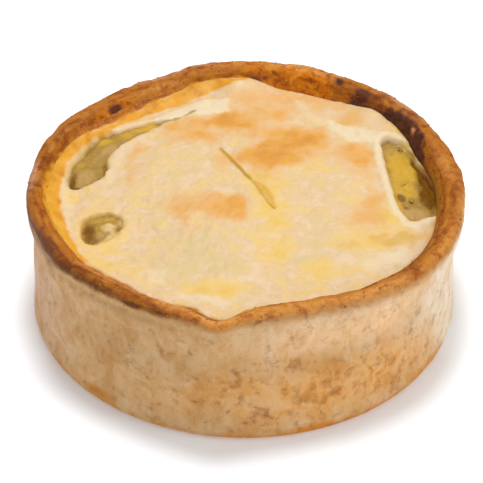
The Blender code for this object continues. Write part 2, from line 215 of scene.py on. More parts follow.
# Patches of the rim, as (angle, radius, spread in degrees, spread in millimetres, strength)
RIM_SPOTS = [
    (133.8, 44.2, 2.2, 1.1, 2), (155, 47.4, 1.2, 0.9, 0.6), (180, 48.5, 0.9, 0.8, 0.5),
    (53.2, 45.6, 2.2, 1.1, 2.2), (61.7, 46.7, 1.3, 1.2, 1.5), (36, 47.2, 4, 1, 0.5),
    (85, 44.7, 3.5, 0.8, 0.45), (76, 44.2, 4, 0.6, 0.35), (66, 48.6, 1, 0.6, 0.4),
    (196, 48.4, 0.8, 0.6, 0.7),
]
RIM_PATCHES = {
    "caramel": [
        (69, 44.5, 7, 2.6, 1), (80, 44.5, 8, 2.8, 1), (88, 44.8, 5, 2.4, 0.8), (133, 44.6, 11, 1.3, 0.8),
    ],
    # Darker patches: deeper browning, and painted shade along the crest's inner edge where it meets the lid
    "darker": [
        (146, 46.5, 14, 3, 0.35), (168, 46.6, 15, 2.6, 0.6), (232, 46.5, 12, 2.4, 0.4),
        (33, 48, 12, 2, 0.5), (302, 44.8, 18, 1.1, 0.55), (326, 45.2, 14, 1.5, 0.5),
        (350, 44.8, 12, 1.2, 0.35), (50, 46.6, 8, 1.8, 0.7), (208, 48.5, 14, 2.2, 0.7),
        (226, 49, 12, 1.6, 0.5), (240, 49.2, 8, 1.2, 0.3), (62, 46, 4, 3, 0.5), (324, 46.8, 14, 2, 0.45),
        (5, 45.2, 12, 1, 0.4),
    ],
    "golder": [
        (215, 45, 4, 3, 0.5), (222, 46, 3, 1, 0.6), (262, 47, 10, 5, 1), (282, 48.8, 18, 3, 0.8),
        (308, 49.1, 16, 2.2, 0.85), (338, 48.9, 14, 1.7, 0.6), (73, 47.6, 14, 2.4, 1),
        (12, 46.4, 12, 2.6, 0.55), (246, 46, 8, 3, 0.6), (110, 46, 14, 3, 0.35), (120, 44.4, 14, 1.4, 0.4),
        (150, 47, 12, 3, 0.4), (137, 46.8, 8, 1.8, 0.3), (90, 48, 8, 2, 0.4), (120, 45.2, 8, 1.2, 0.5),
    ],
    # Paler patches: painted sheen along the rim's outer edge, and one painted glint on the char
    "paler": [
        (112, 49, 20, 1.6, 0.85), (174, 49, 9, 2, 0.95), (42, 49, 14, 1.6, 0.8), (6, 48.9, 20, 1.8, 0.3),
        (312, 48.6, 18, 1.8, 0.4), (346, 48.2, 14, 1.6, 0.25), (31, 45.3, 1, 0.5, 1.3),
    ],
}
# Dark streaks along the rim's outer side, as (angle, height, the two spreads, strength)
RIM_STREAKS = [
    (237.5, 31.3, 3, 0.6, 1.6), (224, 31.6, 3.5, 0.5, 0.8), (246, 31.5, 3, 0.5, 0.9),
    (274, 31, 3, 0.5, 0.5), (201, 31.4, 3, 0.8, 0.7), (212, 31.2, 4, 0.6, 0.9),
]
# Patches of the wall and its base, as (angle, height, the two spreads, strength)
WALL_PATCHES = {
    "toasted": [
        (224, 4, 9, 4, 0.4), (300, 24, 8, 4, 0.3), (282, 24, 6, 5, 0.3), (250, 10, 12, 8, 0.35),
        (270, 12, 10, 9, 0.6), (290, 11, 14, 9, 0.9), (311, 11, 12, 10, 0.8), (326, 7, 8, 6, 0.6),
        (283, 21, 9, 5, 0.4), (268, 16, 10, 6, 0.3), (277, 15, 13, 8, 0.35), (256, 14, 8, 8, 0.2),
    ],
    # Pale patches: paler dough, and painted light: fill on the wall's right and left sides and light thrown
    # up from the floor near the base
    "paled": [
        (352, 19, 17, 18, 1), (333, 23, 14, 10, 0.75), (340, 9, 11, 8, 0.35), (350, 3, 9, 8, 0.9),
        (276, 23, 2.4, 8, 0.35), (183, 14, 8, 14, 0.3), (354, 2, 12, 5, 0.8), (300, 29, 20, 2.5, 0.4),
        (312, 3.5, 12, 2.5, 0.2),
    ],
    # Pink patches; the one at the left also stands in for painted fill light
    "pink": [(190, 14, 18, 16, 1), (315, 24, 14, 4, 0.5)],
    "light_top": [(292, 26, 20, 5, 1), (312, 25, 12, 5, 0.8), (320, 27.2, 12, 1.6, 0.8)],
    # Dark patches: painted shade under the crest's overhanging lip, and one darker burnt spot low on the wall
    # near the base
    "smoked": [
        (198, 30.4, 7, 2.2, 0.8), (206, 30.6, 5, 1.8, 0.7), (188, 29.4, 6, 2.2, 0.9),
        (212, 30.6, 4, 1, 0.5), (226, 3, 5, 1.6, 0.3),
    ],
}
BASE_BROWNED = [
    (226, 3.2, 6, 1.8, 0.6), (288, 1.6, 9, 2, 1), (272, 1.2, 10, 1.2, 0.5), (250, 1.2, 14, 1.3, 0.5),
    (310, 1.6, 10, 1.6, 0.2), (329, 1.6, 10, 2.2, 0.7), (40, 1, 16, 1.6, 0.8), (118, 1, 12, 1.7, 0.9),
    (165, 0.8, 14, 1.3, 0.6),
]
# How browned the ring at the base is, at angles round the pie, and how far up it reaches
BASE_RING = [
    (0, 0.3), (40, 0.6), (200, 0.5), (262, 0.5), (276, 0.7), (292, 0.9), (315, 0.8), (326, 0.5), (338, 0.4),
    (346, 0.2), (360, 0.2),
]
BASE_RING_HEIGHT = 3.2

# Patches of the lid, as (x, y, length, width, turn, strength)
LID_PATCHES = {
    "browned": [
        (-4.5, 14, 8, 10, -30, 0.35), (0, 14.5, 5, 8, 0, 0.5), (3.5, 10.5, 7, 4, 0, 0.45),
        (5, 6, 9, 8, 0, 0.3), (-15, -5, 9, 7, 0, 0.4), (26, 16, 11, 10, 0, 0.35), (15, 25, 11, 9, 0, 0.4),
        (26, -5, 10, 9, 0, 0.35), (-15, 29, 14, 6, 10, 0.35), (-14, 24, 16, 8, 0, 0.1),
        (8.5, 17, 21, 17, 20, 0.75), (13, 22.5, 14, 9, 5, 0.5), (4, 16, 9, 9, 0, 0.45),
        (7.5, 13, 11, 7, 0, 0.35), (5, 25, 16, 7, 0, 0.45), (-9, 25.5, 20, 9, 0, 0.4),
        (-3, 28.5, 11, 8, -20, 0.7), (-6, 30, 8, 6, 0, 0.4), (2, 31, 8, 7, 0, 0.4),
        (8, 30.5, 5, 7, 10, 0.45), (6, 36, 34, 16, 0, 0.42), (-4.5, -4, 12, 12, 0, 0.62),
        (-1.6, -6, 6, 8, 0, 0.5), (-9, -2, 14, 10, 0, 0.35), (-17, -1, 9, 6, 0, 0.3),
        (-12, -11, 5, 5, 0, 0.3), (-14, 28, 16, 6, 8, 0.4), (-25, 19, 5, 8, 0, 0.4),
        (-26.3, 12, 4.5, 12, 0, 0.5), (-12, 22, 20, 8, 0, 0.28), (24, 17, 15, 11, -10, 0.45),
        (27, 9.5, 8, 8, 0, 0.3), (29.5, 1, 6, 9, 0, 0.42), (29.5, -5, 8, 12, 0, 0.34),
        (25, -9, 8, 8, 0, 0.15), (36, -13, 15, 6, 15, 0.4), (22.5, -15.5, 7, 4, 0, 0.35),
        (33, -13.5, 10, 5, 10, 0.25), (25, 29.5, 8, 6, 0, 0.45), (33.5, 27, 6, 5, 0, 0.3),
        (20, 37, 18, 8, -30, 0.3),
    ],
    "greasy": [
        (37.5, 20, 6, 3, -55, 0.9), (0, 16, 4, 6, 0, 0.9), (9.8, 11.5, 5, 7, 0, 0.9),
        (-3.5, -8, 4, 5, 0, 0.7), (-24, 2, 4, 6, 10, 0.4), (-20, -15, 5, 4, 0, 0.5), (-13, 2, 4, 6, 0, 0.4),
        (18, -5, 4, 6, 0, 0.4), (-22, 11, 3, 5, 0, 0.4), (3, 5, 16, 9, -40, 0.6), (-15, -5, 10, 8, 0, 0.45),
        (34, -9, 8, 12, 0, 0.6), (25, -15, 12, 8, 0, 0.4), (15, -25, 14, 9, 10, 0.5),
        (-25, -25, 9, 8, -30, 0.5), (25, -25, 12, 7, 30, 0.5), (-5, 15, 6, 12, -25, 0.4),
        (5.5, -3, 16, 9, 100, 0.9), (6, -14, 12, 16, 0, 0.75), (4, -22, 12, 8, 0, 0.3),
        (8, -17, 5, 8, 0, 0.6), (15, 13, 13, 12, 0, 0.5), (-32, -4, 12, 20, 0, 0.25),
        (24, -14, 20, 10, 0, 0.45), (-15, -3, 16, 8, 0, 0.25), (-34, -21, 12, 6, -40, 0.6),
        (-30, -17, 9, 7, 0, 0.5), (-39.5, 2, 4, 5, 0, 0.8), (-32.5, 3.5, 4.5, 5, 0, 0.6),
        (-33, -9, 16, 14, 0, 0.5), (-26, -8, 6, 6, 0, 0.4), (-28, -20, 14, 8, -30, 0.25),
        (-9, -30, 24, 8, 0, 0.7), (-4, -33, 8, 5, 0, 0.6), (19, -25, 18, 10, 15, 0.6),
        (-36, 22, 3, 8, -35, 0.4), (28, -19, 16, 5, 20, 0.4), (3, 6.5, 9, 7, -30, 0.8),
        (15, 8, 12, 8, 0, 0.15), (14, -35, 10, 5, 20, 0.5), (-36, -14, 5, 9, 10, 0.5),
        (26, 0, 12, 22, 0, 0.35), (-38, 14, 3, 12, -20, 0.4), (35, 25.5, 5, 3.5, -20, 0.8),
        (10, 12, 12, 8, 0, 0.35), (-4, -5, 10, 8, 0, 0.35), (34, -13.5, 16, 6, 15, 1),
        (31, -5, 7, 11, 0, 0.8), (22.5, -16, 7, 4, 0, 0.7), (-34.4, -19.4, 3, 2, -30, 1),
        (-32, -21.8, 3.4, 2.2, -30, 1), (-31, -17.5, 3, 2, 0, 0.8), (-24.8, -1.5, 1.8, 2.4, 0, 0.9),
        (-37.8, -11.6, 2.4, 3.4, 0, 0.9), (-38, -15, 3, 5, 20, 0.7), (35, -6, 7, 8, 0, 0.6),
        (-5, 36, 8, 4, 0, 0.5), (6, 6, 8, 6, -30, 0.6),
    ],
    "dulled": [
        (25, -15, 12, 8, 0, 0.6), (-15, -25, 14, 12, 0, 0.7), (-5, -25, 10, 10, 0, 0.5),
        (15, -18, 10, 10, 0, 0.5), (33, -4, 6, 8, 0, 0.4), (35, -13, 15, 5, 12, 0.4),
        (3.2, 3.6, 2.4, 3, -30, 0.6), (-10, -18, 11, 14, 0, 0.8), (-17, -13, 9, 8, 0, 0.5),
        (14, -10, 10, 12, 0, 0.4), (-17, 8, 9, 2.6, 15, 0.6), (-10.5, 9.3, 6, 2.6, 60, 0.5),
        (16.5, -8, 2.4, 4, 0, 0.6), (-13, 33.6, 2.5, 5, -30, 0.5), (15, 3, 12, 12, 0, 0.35),
        (-3, -22, 9, 10, 0, 0.5), (-16, 13, 14, 12, 0, 0.3), (12, -20, 4, 5, 0, 0.5),
        (-22, -7, 5, 5, 0, 0.3),
    ],
}
LID_RAW = [
    (-9, -35.5, 20, 5, 0, 0.6), (-21, -27, 9, 8, -30, 0.45), (34, -20, 12, 6, 35, 0.7),
    (27, -21, 10, 5, 30, 0.4), (29, -24, 5, 7, 20, 0.4), (-40.6, -4, 2.4, 20, 0, 0.4),
    (-31, 11, 4, 12, -15, 0.45), (15, 29, 6, 8, 0, 0.2),
]
LID_SOAKED = [
    (35, -13, 15, 5, 12, 0.85), (22.5, -15.5, 7, 4, 0, 0.6), (30.5, -5, 6, 10, 0, 0.6),
    (15, -35.5, 9, 3, 20, 0.5), (5, 3, 4, 5, -30, 0.4), (-36.5, -13, 3, 5, 10, 0.4),
    (-18, -7, 2, 3, 0, 0.4), (29.8, 0.3, 2, 3, 0, 0.5),
]
# Crusted stretches of the lid's edge, as (angle, radius, the two spreads, strength)
LID_CRUSTED = [(228, 43.7, 20, 1.9, 1.3), (246, 43.8, 12, 1.5, 1.1), (296, 43.7, 30, 0.9, 1.2)]
# The small hole keeps a paler torn edge: its middle, and the distances over which that ends
HOLE_MIDDLE = (-33.0, -9.0)
HOLE_FADE = (8.0, 6.5)
# Torn layers and bands of unbaked pastry: a route, its width, how raw it is and how high it stands
RAW_BANDS = [
    (
        [(-23, 30.6), (-28.5, 28.4), (-34.4, 25.4), (-37.9, 19.4), (-40.8, 13), (-41.4, 6), (-40.8, -4)],
        1.6, 0.4, 0.1,
    ),
    ([(-31, 8), (-30, 14), (-28.2, 19), (-24.5, 23.5)], 2.6, 0.4, 0.1),
    (
        [(27.0, 23.5), (30.4, 20.5), (31, 14), (31.8, 8), (32.8, 2), (34, -3.5), (36, -7.6), (38.6, -8.6),
         (43.0, -5.4)],
        1.9, 0.75, 0.2,
    ),
    ([(31, 23.4), (34.0, 23.4), (36.8, 22.4)], 1.8, 0.7, 0.15),
    ([(12.5, 37), (14, 33), (17.5, 29.5)], 2.6, 0.4, 0.1),
]
# Torn sheets of unbaked pastry: a closed outline, how raw it is and how high it stands
RAW_SHEETS = [
    (
        [(-4.2, 37.4), (-8.2, 38.1), (-12.2, 38.1), (-16.6, 36.0), (-21.0, 32.8), (-23.0, 30.6),
         (-20.0, 29.9), (-16.5, 30.9), (-12.1, 31.9), (-8.0, 32.6), (-3.9, 32.4)],
        0.9, 0.3,
    ),
    (
        [(18.4, 31.0), (20.6, 29.8), (24.0, 27.2), (28.3, 25.5), (33.0, 24.2), (34.0, 22.4), (31.4, 19.8),
         (29.0, 20.6), (24.4, 22.2), (21.0, 23.6), (18.4, 28.0)],
        0.75, 0.2,
    ),
]
SLIT_ROUTE = [(-5.9, 18.0), (-2.9, 12.5), (-0.9, 9.0), (1.9, 4.4), (4.8, -1.7), (6.2, -3.9)]
SLIT_EYE = [(1.0, 6.0), (3.6, 4.4), (5.5, 1.4), (6.8, -2.0), (6.3, -3.8), (4.7, -1.2), (2.3, 3.4)]
CRACK_ROUTE = [(-20.5, 29.9), (-16.8, 31.0), (-12.4, 34.0)]

# Patches of the filling, as (x, y, length, width, turn, strength)
FILLING_PATCHES = {
    "yellow": [
        (36, 14, 8, 12, -5, 0.8), (37, 11, 5, 9, 0, 0.8), (35.6, 6, 6, 9, 10, 0.8),
        (38.6, 5, 3, 6, 20, 0.5), (34, 19, 5, 6, 0, 0.4), (34.6, 15.5, 4, 5, 0, 0.5),
        (-33, 23.4, 4, 3, 30, 0.7), (-38, 14.6, 2, 4, -20, 0.5), (-23.2, 28.8, 6, 3, 30, 0.9),
        (-28, 25.6, 9, 4, 38, 0.55), (34.8, 0, 2, 7, 15, 0.7), (-33, -5.8, 8, 2.2, 0, 0.5),
        (-33.4, -9, 3, 5, 0, 0.4),
    ],
    "clear": [
        (39, -3, 9, 5, 0, 1), (33.6, 19.4, 3, 3, 0, 0.8), (-36.6, 10.2, 4.5, 6, -20, 0.9),
        (-31.6, 20.4, 4, 5, -30, 0.8), (-34, 17, 4, 7, -25, 0.4), (-33, -11, 5, 4, 0, 0.4),
    ],
    # Dark patches: painted shade in the hollows between the onion, which are also sunk a little
    "deep": [
        (41.8, 3.6, 5, 9, 8, 1), (41, 9.5, 3.2, 9, 15, 1), (39.2, 15, 2, 7, 15, 1),
        (35.6, 3, 2.4, 3.6, 15, 0.7), (36.8, -0.8, 1.6, 3, 30, 0.5), (33.6, 19.6, 3, 1.8, 0, 0.3),
        (-36, -9.4, 4, 6, 0, 0.7), (-35, -12.6, 4, 4, 0, 0.55), (-39.8, 8.6, 2.2, 8, -5, 0.9),
        (-38.4, 6.6, 5, 2, 10, 0.8), (-32.6, 13, 1.8, 6, 0, 0.6), (-29, -8.5, 1.4, 3, 0, 0.5),
        (-36, 20.6, 2, 5, -35, 0.4), (-33.6, 9.4, 2.5, 2, 30, 0.5), (35.4, 20.6, 4, 2, -30, 0.35),
    ],
    "pastry": [
        (-31.4, -8.8, 4.2, 3.4, 0, 1), (-30.4, -11.8, 6, 3.2, 40, 0.85), (-28.6, -7.2, 2.4, 4, 0, 0.5),
        (-33.4, -13.6, 4, 2, 20, 0.5), (36.5, 21, 4, 2.4, -20, 0.6),
    ],
}
FILLING_HIGH = [
    (-27, 26.5, 18, 7, 38, 1), (37, 12, 8, 14, 0, 0.6), (-32, -8, 11, 10, 0, 0.9), (39, -3, 6, 5, 0, 0.5),
]

# The small scattered pieces: smallest and largest size, and how thick each is for its size
SHRED_LENGTHS = (2.2, 3.6)
SHRED_FLATNESS = 0.2
CRUMB_SIZES = (0.25, 0.6)
CRUMB_FLATNESS = 0.6
FLOUR_SIZES = (0.2, 0.4)
FLOUR_FLATNESS = 0.35
SHREDS_SEED = 5
TINT_SEED = 7
SQUARE_CENTIMETRES = 1e4

# Noise mostly lies between these values, and soft oval patches fade between these shares of their size
NOISE_SPREAD = (0.28, 0.72)
PATCH_FADE = (0.35, 1.35)
# A layer of colour whose mask is used as it is stored
AS_STORED = ()

# The camera, as fitted to the pie's outlines, and the stage; distances in metres
PHOTO_WIDTH = 483
SENSOR_WIDTH = 36.0
FOCAL_PIXELS = 3464.0
CAMERA_SHIFT = (-5.0, 7.8)
CAMERA_ELEVATION = 40.2
CAMERA_DISTANCE = 0.8
CAMERA_AIM_HEIGHT = 15.0
CAMERA_NEAREST = 0.01
FLOOR_SIZE = 3.0
KEY_PLACE = (-0.008, 0.18, 0.9)
KEY_SIZE = 0.23
SIDE_PLACE = (0.85, -0.32, 0.42)
SIDE_SIZE = 0.6
WHITE = (1.0, 1.0, 1.0, 1.0)


def smooth_rise(start, end, value):
    """0 before start, 1 after end and a smooth rise between them."""
    t = np.clip((value - start) / (end - start), 0.0, 1.0)
    return t * t * (3.0 - 2.0 * t)


def stretch(span, value):
    """1 between a span's two middle values, 0 outside its outer ones, with smooth changes."""
    starts, full, fades, ends = span
    return smooth_rise(starts, full, value) * smooth_rise(ends, fades, value)


def bell(value, spread):
    """1 at zero, with a soft fall to both sides."""
    return np.exp(-((value / spread) ** 2))


def turn_from(centre, angle):
    """Turn from one angle to others, from -180 to 180 degrees."""
    return (angle - centre + 180.0) % 360.0 - 180.0


def round_the_pie(changes, angle):
    """Sum of the soft local changes at angles in degrees."""
    total = np.zeros_like(angle)
    for centre, spread, change in changes:
        total += change * bell(turn_from(centre, angle), spread)
    return total


def soft_patches(angle, level, patches):
    """How strongly soft patches, as (angle, level, two spreads, strength), show round the pie."""
    shown = np.zeros(len(angle))
    for centre, middle, spread, tall, strength in patches:
        away = (turn_from(centre, angle) / spread) ** 2
        patch = strength * np.exp(-away - ((level - middle) / tall) ** 2)
        shown = shown + patch * (1.0 - shown)
    return shown


def patches_at(places, patches):
    """How strongly soft oval patches, as (x, y, length, width, turn, strength), show at each place."""
    shown = np.zeros(len(places))
    for x, y, length, width, turn, strength in patches:
        away = places - (x, y)
        cosine = math.cos(math.radians(turn))
        sine = math.sin(math.radians(turn))
        along = (away[:, 0] * cosine + away[:, 1] * sine) / (length / 2)
        across = (away[:, 1] * cosine - away[:, 0] * sine) / (width / 2)
        patch = strength * (1.0 - smooth_rise(*PATCH_FADE, np.hypot(along, across)))
        shown = shown + patch * (1.0 - shown)
    return shown


def along_the_rim(angle, curve):
    """Value at each angle of a curve given as (angle, value) points."""
    return np.interp(angle, *zip(*curve))


def grain(points, size, octaves=1, seed=0.0):
    """Noise of about -1 to 1 at each point, in grains of one size; a seed picks another stretch of it."""
    places = (points / size + seed).tolist()
    if octaves == 1:
        return np.array([noise.noise(place) for place in places])
    return np.array([noise.fractal(place, 1.0, 2.0, octaves) for place in places])


def flattened(points):
    """The points as seen from above, all at height 0."""
    return points * (1.0, 1.0, 0.0)


def warp_at(points, size, octaves, seed):
    """A sideways push at each point, from two grains, for ragged edges."""
    flat = flattened(points)
    return np.column_stack([grain(flat, size, octaves, seed=seed + i) for i in range(2)])


def polar(points):
    """Radius, and angle in degrees from 0 to 360, of each point round the pie's axis."""
    angle = np.degrees(np.arctan2(points[:, 1], points[:, 0])) % 360.0
    return np.hypot(points[:, 0], points[:, 1]), angle


def streaks_along_rim(points):
    """Streaks from 0 to 1 drawn out along the rim, about four times as long as they are wide."""
    radius = np.maximum(polar(points)[0], TINY)
    along = points[:, :2] / radius[:, None] * RIM_RADIUS / 4
    across = points[:, 2] + 0.8 * radius
    return 0.5 + 0.5 * grain(np.column_stack((along, across)), 1.2, 3, seed=50.0)


def settled(points):
    """Where points of the true pie end up once the dough has settled."""
    radius, angle = polar(points)
    direction = flattened(points) / np.maximum(radius, TINY)[:, None]
    height = points[:, 2]
    at_wall = smooth_rise(SETTLE_FROM_RADIUS, SETTLE_TO_RADIUS, radius)
    at_rim = smooth_rise(SETTLE_FROM_HEIGHT, RIM_HEIGHT, height)
    at_crest = smooth_rise(LID_EDGE_HEIGHT, RIM_HEIGHT, height)
    above_base = smooth_rise(0.0, STILL_BASE_HEIGHT, height)
    on_wall = direction * WALL_RADIUS
    crest_wave = CREST_WAVE * grain(on_wall, CREST_WAVE_LENGTH)
    on_wall[:, 2] = height
    wave = HAND_WAVE * grain(on_wall, HAND_WAVE_LENGTH)

    thinning = round_the_pie(CREST_THINNINGS, angle) * at_crest * at_wall
    moved = radius + np.maximum(RIM_RADIUS - radius, 0.0) * thinning
    moved += at_wall * round_the_pie(WALL_BULGES, angle)
    moved += at_wall * at_rim * round_the_pie(RIM_LEANS, angle)
    moved += at_wall * above_base * wave
    result = direction * moved[:, None]
    result[:, 2] = height + at_wall * at_rim * (round_the_pie(RIM_RISES, angle) + crest_wave)
    result[:, :2] += PIE_AXIS
    return result


def line(start, end, steps):
    """Points from start to end in even steps, without the first."""
    return [tuple(a + (b - a) * i / steps for a, b in zip(start, end)) for i in range(1, steps + 1)]


def arc(centre, radii, start, end, steps, squareness=2.0):
    """Points of an elliptical arc in the profile's plane, with fuller corners if it is squared."""
    points = []
    for i in range(steps + 1):
        angle = math.radians(start + (end - start) * i / steps)
        across, up = math.cos(angle), math.sin(angle)
        across = math.copysign(abs(across) ** (2.0 / squareness), across)
        up = math.copysign(abs(up) ** (2.0 / squareness), up)
        points.append((centre[0] + radii[0] * across, centre[1] + radii[1] * up))
    return points


def case_profile():
    """Case outline: floor, inner wall, crest, lip, outer wall and base."""
    corner_centre = (INNER_RADIUS - FLOOR_CORNER, BASE_THICKNESS + FLOOR_CORNER)
    profile = [(0.0, BASE_THICKNESS), (INNER_RADIUS / 2, BASE_THICKNESS)]
    profile += arc(corner_centre, (FLOOR_CORNER, FLOOR_CORNER), -90, 0, 4)
    profile += line(profile[-1], (INNER_RADIUS, LID_EDGE_HEIGHT - LID_THICKNESS), 3)
    profile += line(profile[-1], (INNER_RADIUS, LID_EDGE_HEIGHT), 6)
    crest = arc((CREST_MIDDLE, CREST_BASE), (CREST_WIDTH / 2, CREST_ROUNDING), 165, 0, 28, CREST_SQUARENESS)
    profile += line(profile[-1], crest[0], 6) + crest[1:]
    for i in range(1, LIP_STEPS + 1):
        down = i / LIP_STEPS
        radius = WALL_RADIUS + (RIM_RADIUS - WALL_RADIUS) * float(smooth_rise(1.0, 0.0, down))
        profile.append((radius, CREST_BASE + (LIP_BOTTOM - CREST_BASE) * down))
    profile += line(profile[-1], (WALL_RADIUS, BASE_FLARE_HEIGHT), 24)
    for i in range(1, FLARE_STEPS + 1):
        down = i / FLARE_STEPS
        height = BASE_FLARE_HEIGHT + (BASE_CORNER - BASE_FLARE_HEIGHT) * down
        profile.append((WALL_RADIUS + BASE_FLARE * float(smooth_rise(0.0, 1.0, down)), height))
    corner_centre = (WALL_RADIUS + BASE_FLARE - BASE_CORNER, BASE_CORNER)
    profile += arc(corner_centre, (BASE_CORNER, BASE_CORNER), 0, -90, 7)[1:]
    return profile + [(WALL_RADIUS / 2, 0.0), (0.0, 0.0)]


def lid_top(radius):
    """Height of the true lid's top face."""
    return LID_EDGE_HEIGHT + LID_MOUND * (1.0 - (radius / LID_RADIUS) ** 2)


def lid_profile(rings):
    """Lid outline: mounded top face, rounded edge and a plainer face underneath."""
    edge = LID_RADIUS - LID_EDGE_ROUNDING
    profile = [(edge * i / rings, lid_top(edge * i / rings)) for i in range(rings + 1)]
    shoulder = LID_EDGE_HEIGHT - LID_EDGE_ROUNDING
    profile += arc((edge, shoulder), (LID_EDGE_ROUNDING, LID_EDGE_ROUNDING), 70, 0, 4)
    for i in range(9):
        radius = LID_RADIUS * (1.0 - i / 8)
        profile.append((radius, lid_top(radius) - LID_THICKNESS))
    return profile


def filling_profile(rings):
    """Filling outline: the face under the lid with most rings at its edge, the side and the floor."""
    side = FILLING_RADIUS
    corner = FLOOR_CORNER - FIT_GAP
    corner_centre = (INNER_RADIUS - FLOOR_CORNER, BASE_THICKNESS + FLOOR_CORNER)
    radii = [GAPS_FROM_RADIUS * i / 6 for i in range(6)]
    radii += [GAPS_FROM_RADIUS + (side - GAPS_FROM_RADIUS) * i / rings for i in range(rings + 1)]
    profile = [(radius, lid_top(radius) - LID_THICKNESS - FIT_GAP) for radius in radii]
    profile += line(profile[-1], (side, corner_centre[1]), 5)
    profile += arc(corner_centre, (corner, corner), 0, -90, 4)[1:]
    return profile + [(side / 2, BASE_THICKNESS + FIT_GAP), (0.0, BASE_THICKNESS + FIT_GAP)]


def smooth_outline(points):
    """A smooth closed curve through the points, as an array of more points."""
    corners = np.array(points, float)
    before, after, beyond = (np.roll(corners, shift, axis=0) for shift in (1, -1, -2))
    curve = []
    for step in range(OUTLINE_STEPS):
        t = step / OUTLINE_STEPS
        curve.append(0.5 * (
            2.0 * corners
            + (after - before) * t
            + (2.0 * before - 5.0 * corners + 4.0 * after - beyond) * t ** 2
            + (3.0 * corners - before - 3.0 * after + beyond) * t ** 3
        ))
    return np.stack(curve, axis=1).reshape(-1, 2)


def distance_to_route(places, route):
    """Distance of each place to the line through a route's points."""
    nearest = np.full(len(places), np.inf)
    corners = np.array(route, float)
    for start, end in zip(corners[:-1], corners[1:]):
        along = end - start
        share = np.clip((places - start) @ along / (along @ along), 0.0, 1.0)
        nearest = np.minimum(nearest, np.hypot(*(places - start - share[:, None] * along).T))
    return nearest


def distance_to_outline(places, outline):
    """Distance of each place to a closed outline, below zero inside it."""
    closed = np.vstack((outline, outline[:1]))
    inside = np.zeros(len(places), bool)
    for start, end in zip(closed[:-1], closed[1:]):
        spans = (start[1] > places[:, 1]) != (end[1] > places[:, 1])
        rise = end[1] - start[1] if end[1] != start[1] else TINY * MM
        crossing = start[0] + (places[:, 1] - start[1]) / rise * (end[0] - start[0])
        inside ^= spans & (places[:, 0] < crossing)
    distance = distance_to_route(places, closed)
    return np.where(inside, -distance, distance)


def nearest_gap(points):
    """Distance of each point to the nearest gap's torn outline, below zero inside it."""
    outlines = [smooth_outline(corners) for corners in GAP_OUTLINES.values()]
    distance = np.min([distance_to_outline(points[:, :2], outline) for outline in outlines], axis=0)
    return distance + 0.35 * grain(flattened(points), 2.2, 2, seed=8.0)


def colour_of(hex_code):
    """Linear colour of an sRGB hex value."""
    channels = [int(hex_code[i:i + 2], 16) / 255.0 for i in (1, 3, 5)]
    linear = [c / 12.92 if c <= 0.04045 else ((c + 0.055) / 1.055) ** 2.4 for c in channels]
    return (*linear, 1.0)


def paint(colour):
    """A colour for a node: a hex value made linear, a setting as plain numbers, or a socket as it is."""
    if isinstance(colour, str):
        return colour_of(colour)
    return colour if isinstance(colour, bpy.types.NodeSocket) else tuple(colour)


def add_node(tree, kind, inputs=None, **settings):
    """A node with its settings, each input given a value or linked to another node's output."""
    node = tree.nodes.new(kind)
    for name, value in settings.items():
        setattr(node, name, value)
    for socket, value in (inputs or {}).items():
        if isinstance(value, bpy.types.NodeSocket):
            tree.links.new(value, node.inputs[socket])
        else:
            node.inputs[socket].default_value = value
    return node


def positions(mesh):
    """A mesh's vertices as an array in millimetres."""
    flat = np.empty(len(mesh.vertices) * 3, np.float32)
    mesh.vertices.foreach_get("co", flat)
    return flat.reshape(-1, 3).astype(float) / MM


def outward_normals(mesh):
    """A mesh's vertex normals as an array."""
    flat = np.empty(len(mesh.vertices) * 3, np.float32)
    mesh.vertex_normals.foreach_get("vector", flat)
    return flat.reshape(-1, 3).astype(float)


def place_vertices(mesh, points):
    """Put a mesh's vertices at places given in millimetres."""
    mesh.vertices.foreach_set("co", (points * MM).astype(np.float32).ravel())
    mesh.update()


def store_masks(mesh, masks):
    """Store named masks, one number from 0 to 1 at each vertex, for the materials to read."""
    for name, values in masks.items():
        attribute = mesh.attributes.new(name, "FLOAT", "POINT")
        attribute.data.foreach_set("value", np.clip(values, 0.0, 1.0).astype(np.float32))


def new_object(name, data):
    """An object for a mesh, a light or a camera, at the origin."""
    obj = bpy.data.objects.new(name, data)
    bpy.context.scene.collection.objects.link(obj)
    return obj


def grown(name, base_mesh, tree, values):
    """The plain mesh that a geometry node tree makes from a base mesh, with its named inputs set."""
    base = new_object(name + "_base", base_mesh)
    modifier = base.modifiers.new(tree.name, "NODES")
    modifier.node_group = tree
    sockets = {item.name: item.identifier for item in tree.interface.items_tree if item.in_out == "INPUT"}
    for input_name, value in values.items():
        modifier[sockets[input_name]] = value
    bpy.context.view_layer.update()
    evaluated = base.evaluated_get(bpy.context.evaluated_depsgraph_get())
    mesh = bpy.data.meshes.new_from_object(evaluated)
    mesh.name = name
    bpy.data.objects.remove(base)
    return mesh


def new_tree(name, inputs):
    """An empty geometry node tree, made from the names and kinds of its inputs, and its input sockets."""
    tree = bpy.data.node_groups.new(name, "GeometryNodeTree")
    for socket, kind in inputs.items():
        tree.interface.new_socket(socket, in_out="INPUT", socket_type="NodeSocket" + kind)
    tree.interface.new_socket("Piece", in_out="OUTPUT", socket_type="NodeSocketGeometry")
    return tree, add_node(tree, "NodeGroupInput").outputs


def end_tree(tree, geometry, material):
    """End a geometry node tree with real faces in their material."""
    real = add_node(tree, "GeometryNodeRealizeInstances", {0: geometry}).outputs[0]
    dressed = add_node(tree, "GeometryNodeSetMaterial", {"Geometry": real, "Material": material})
    add_node(tree, "NodeGroupOutput", {"Piece": dressed.outputs[0]})
    return tree


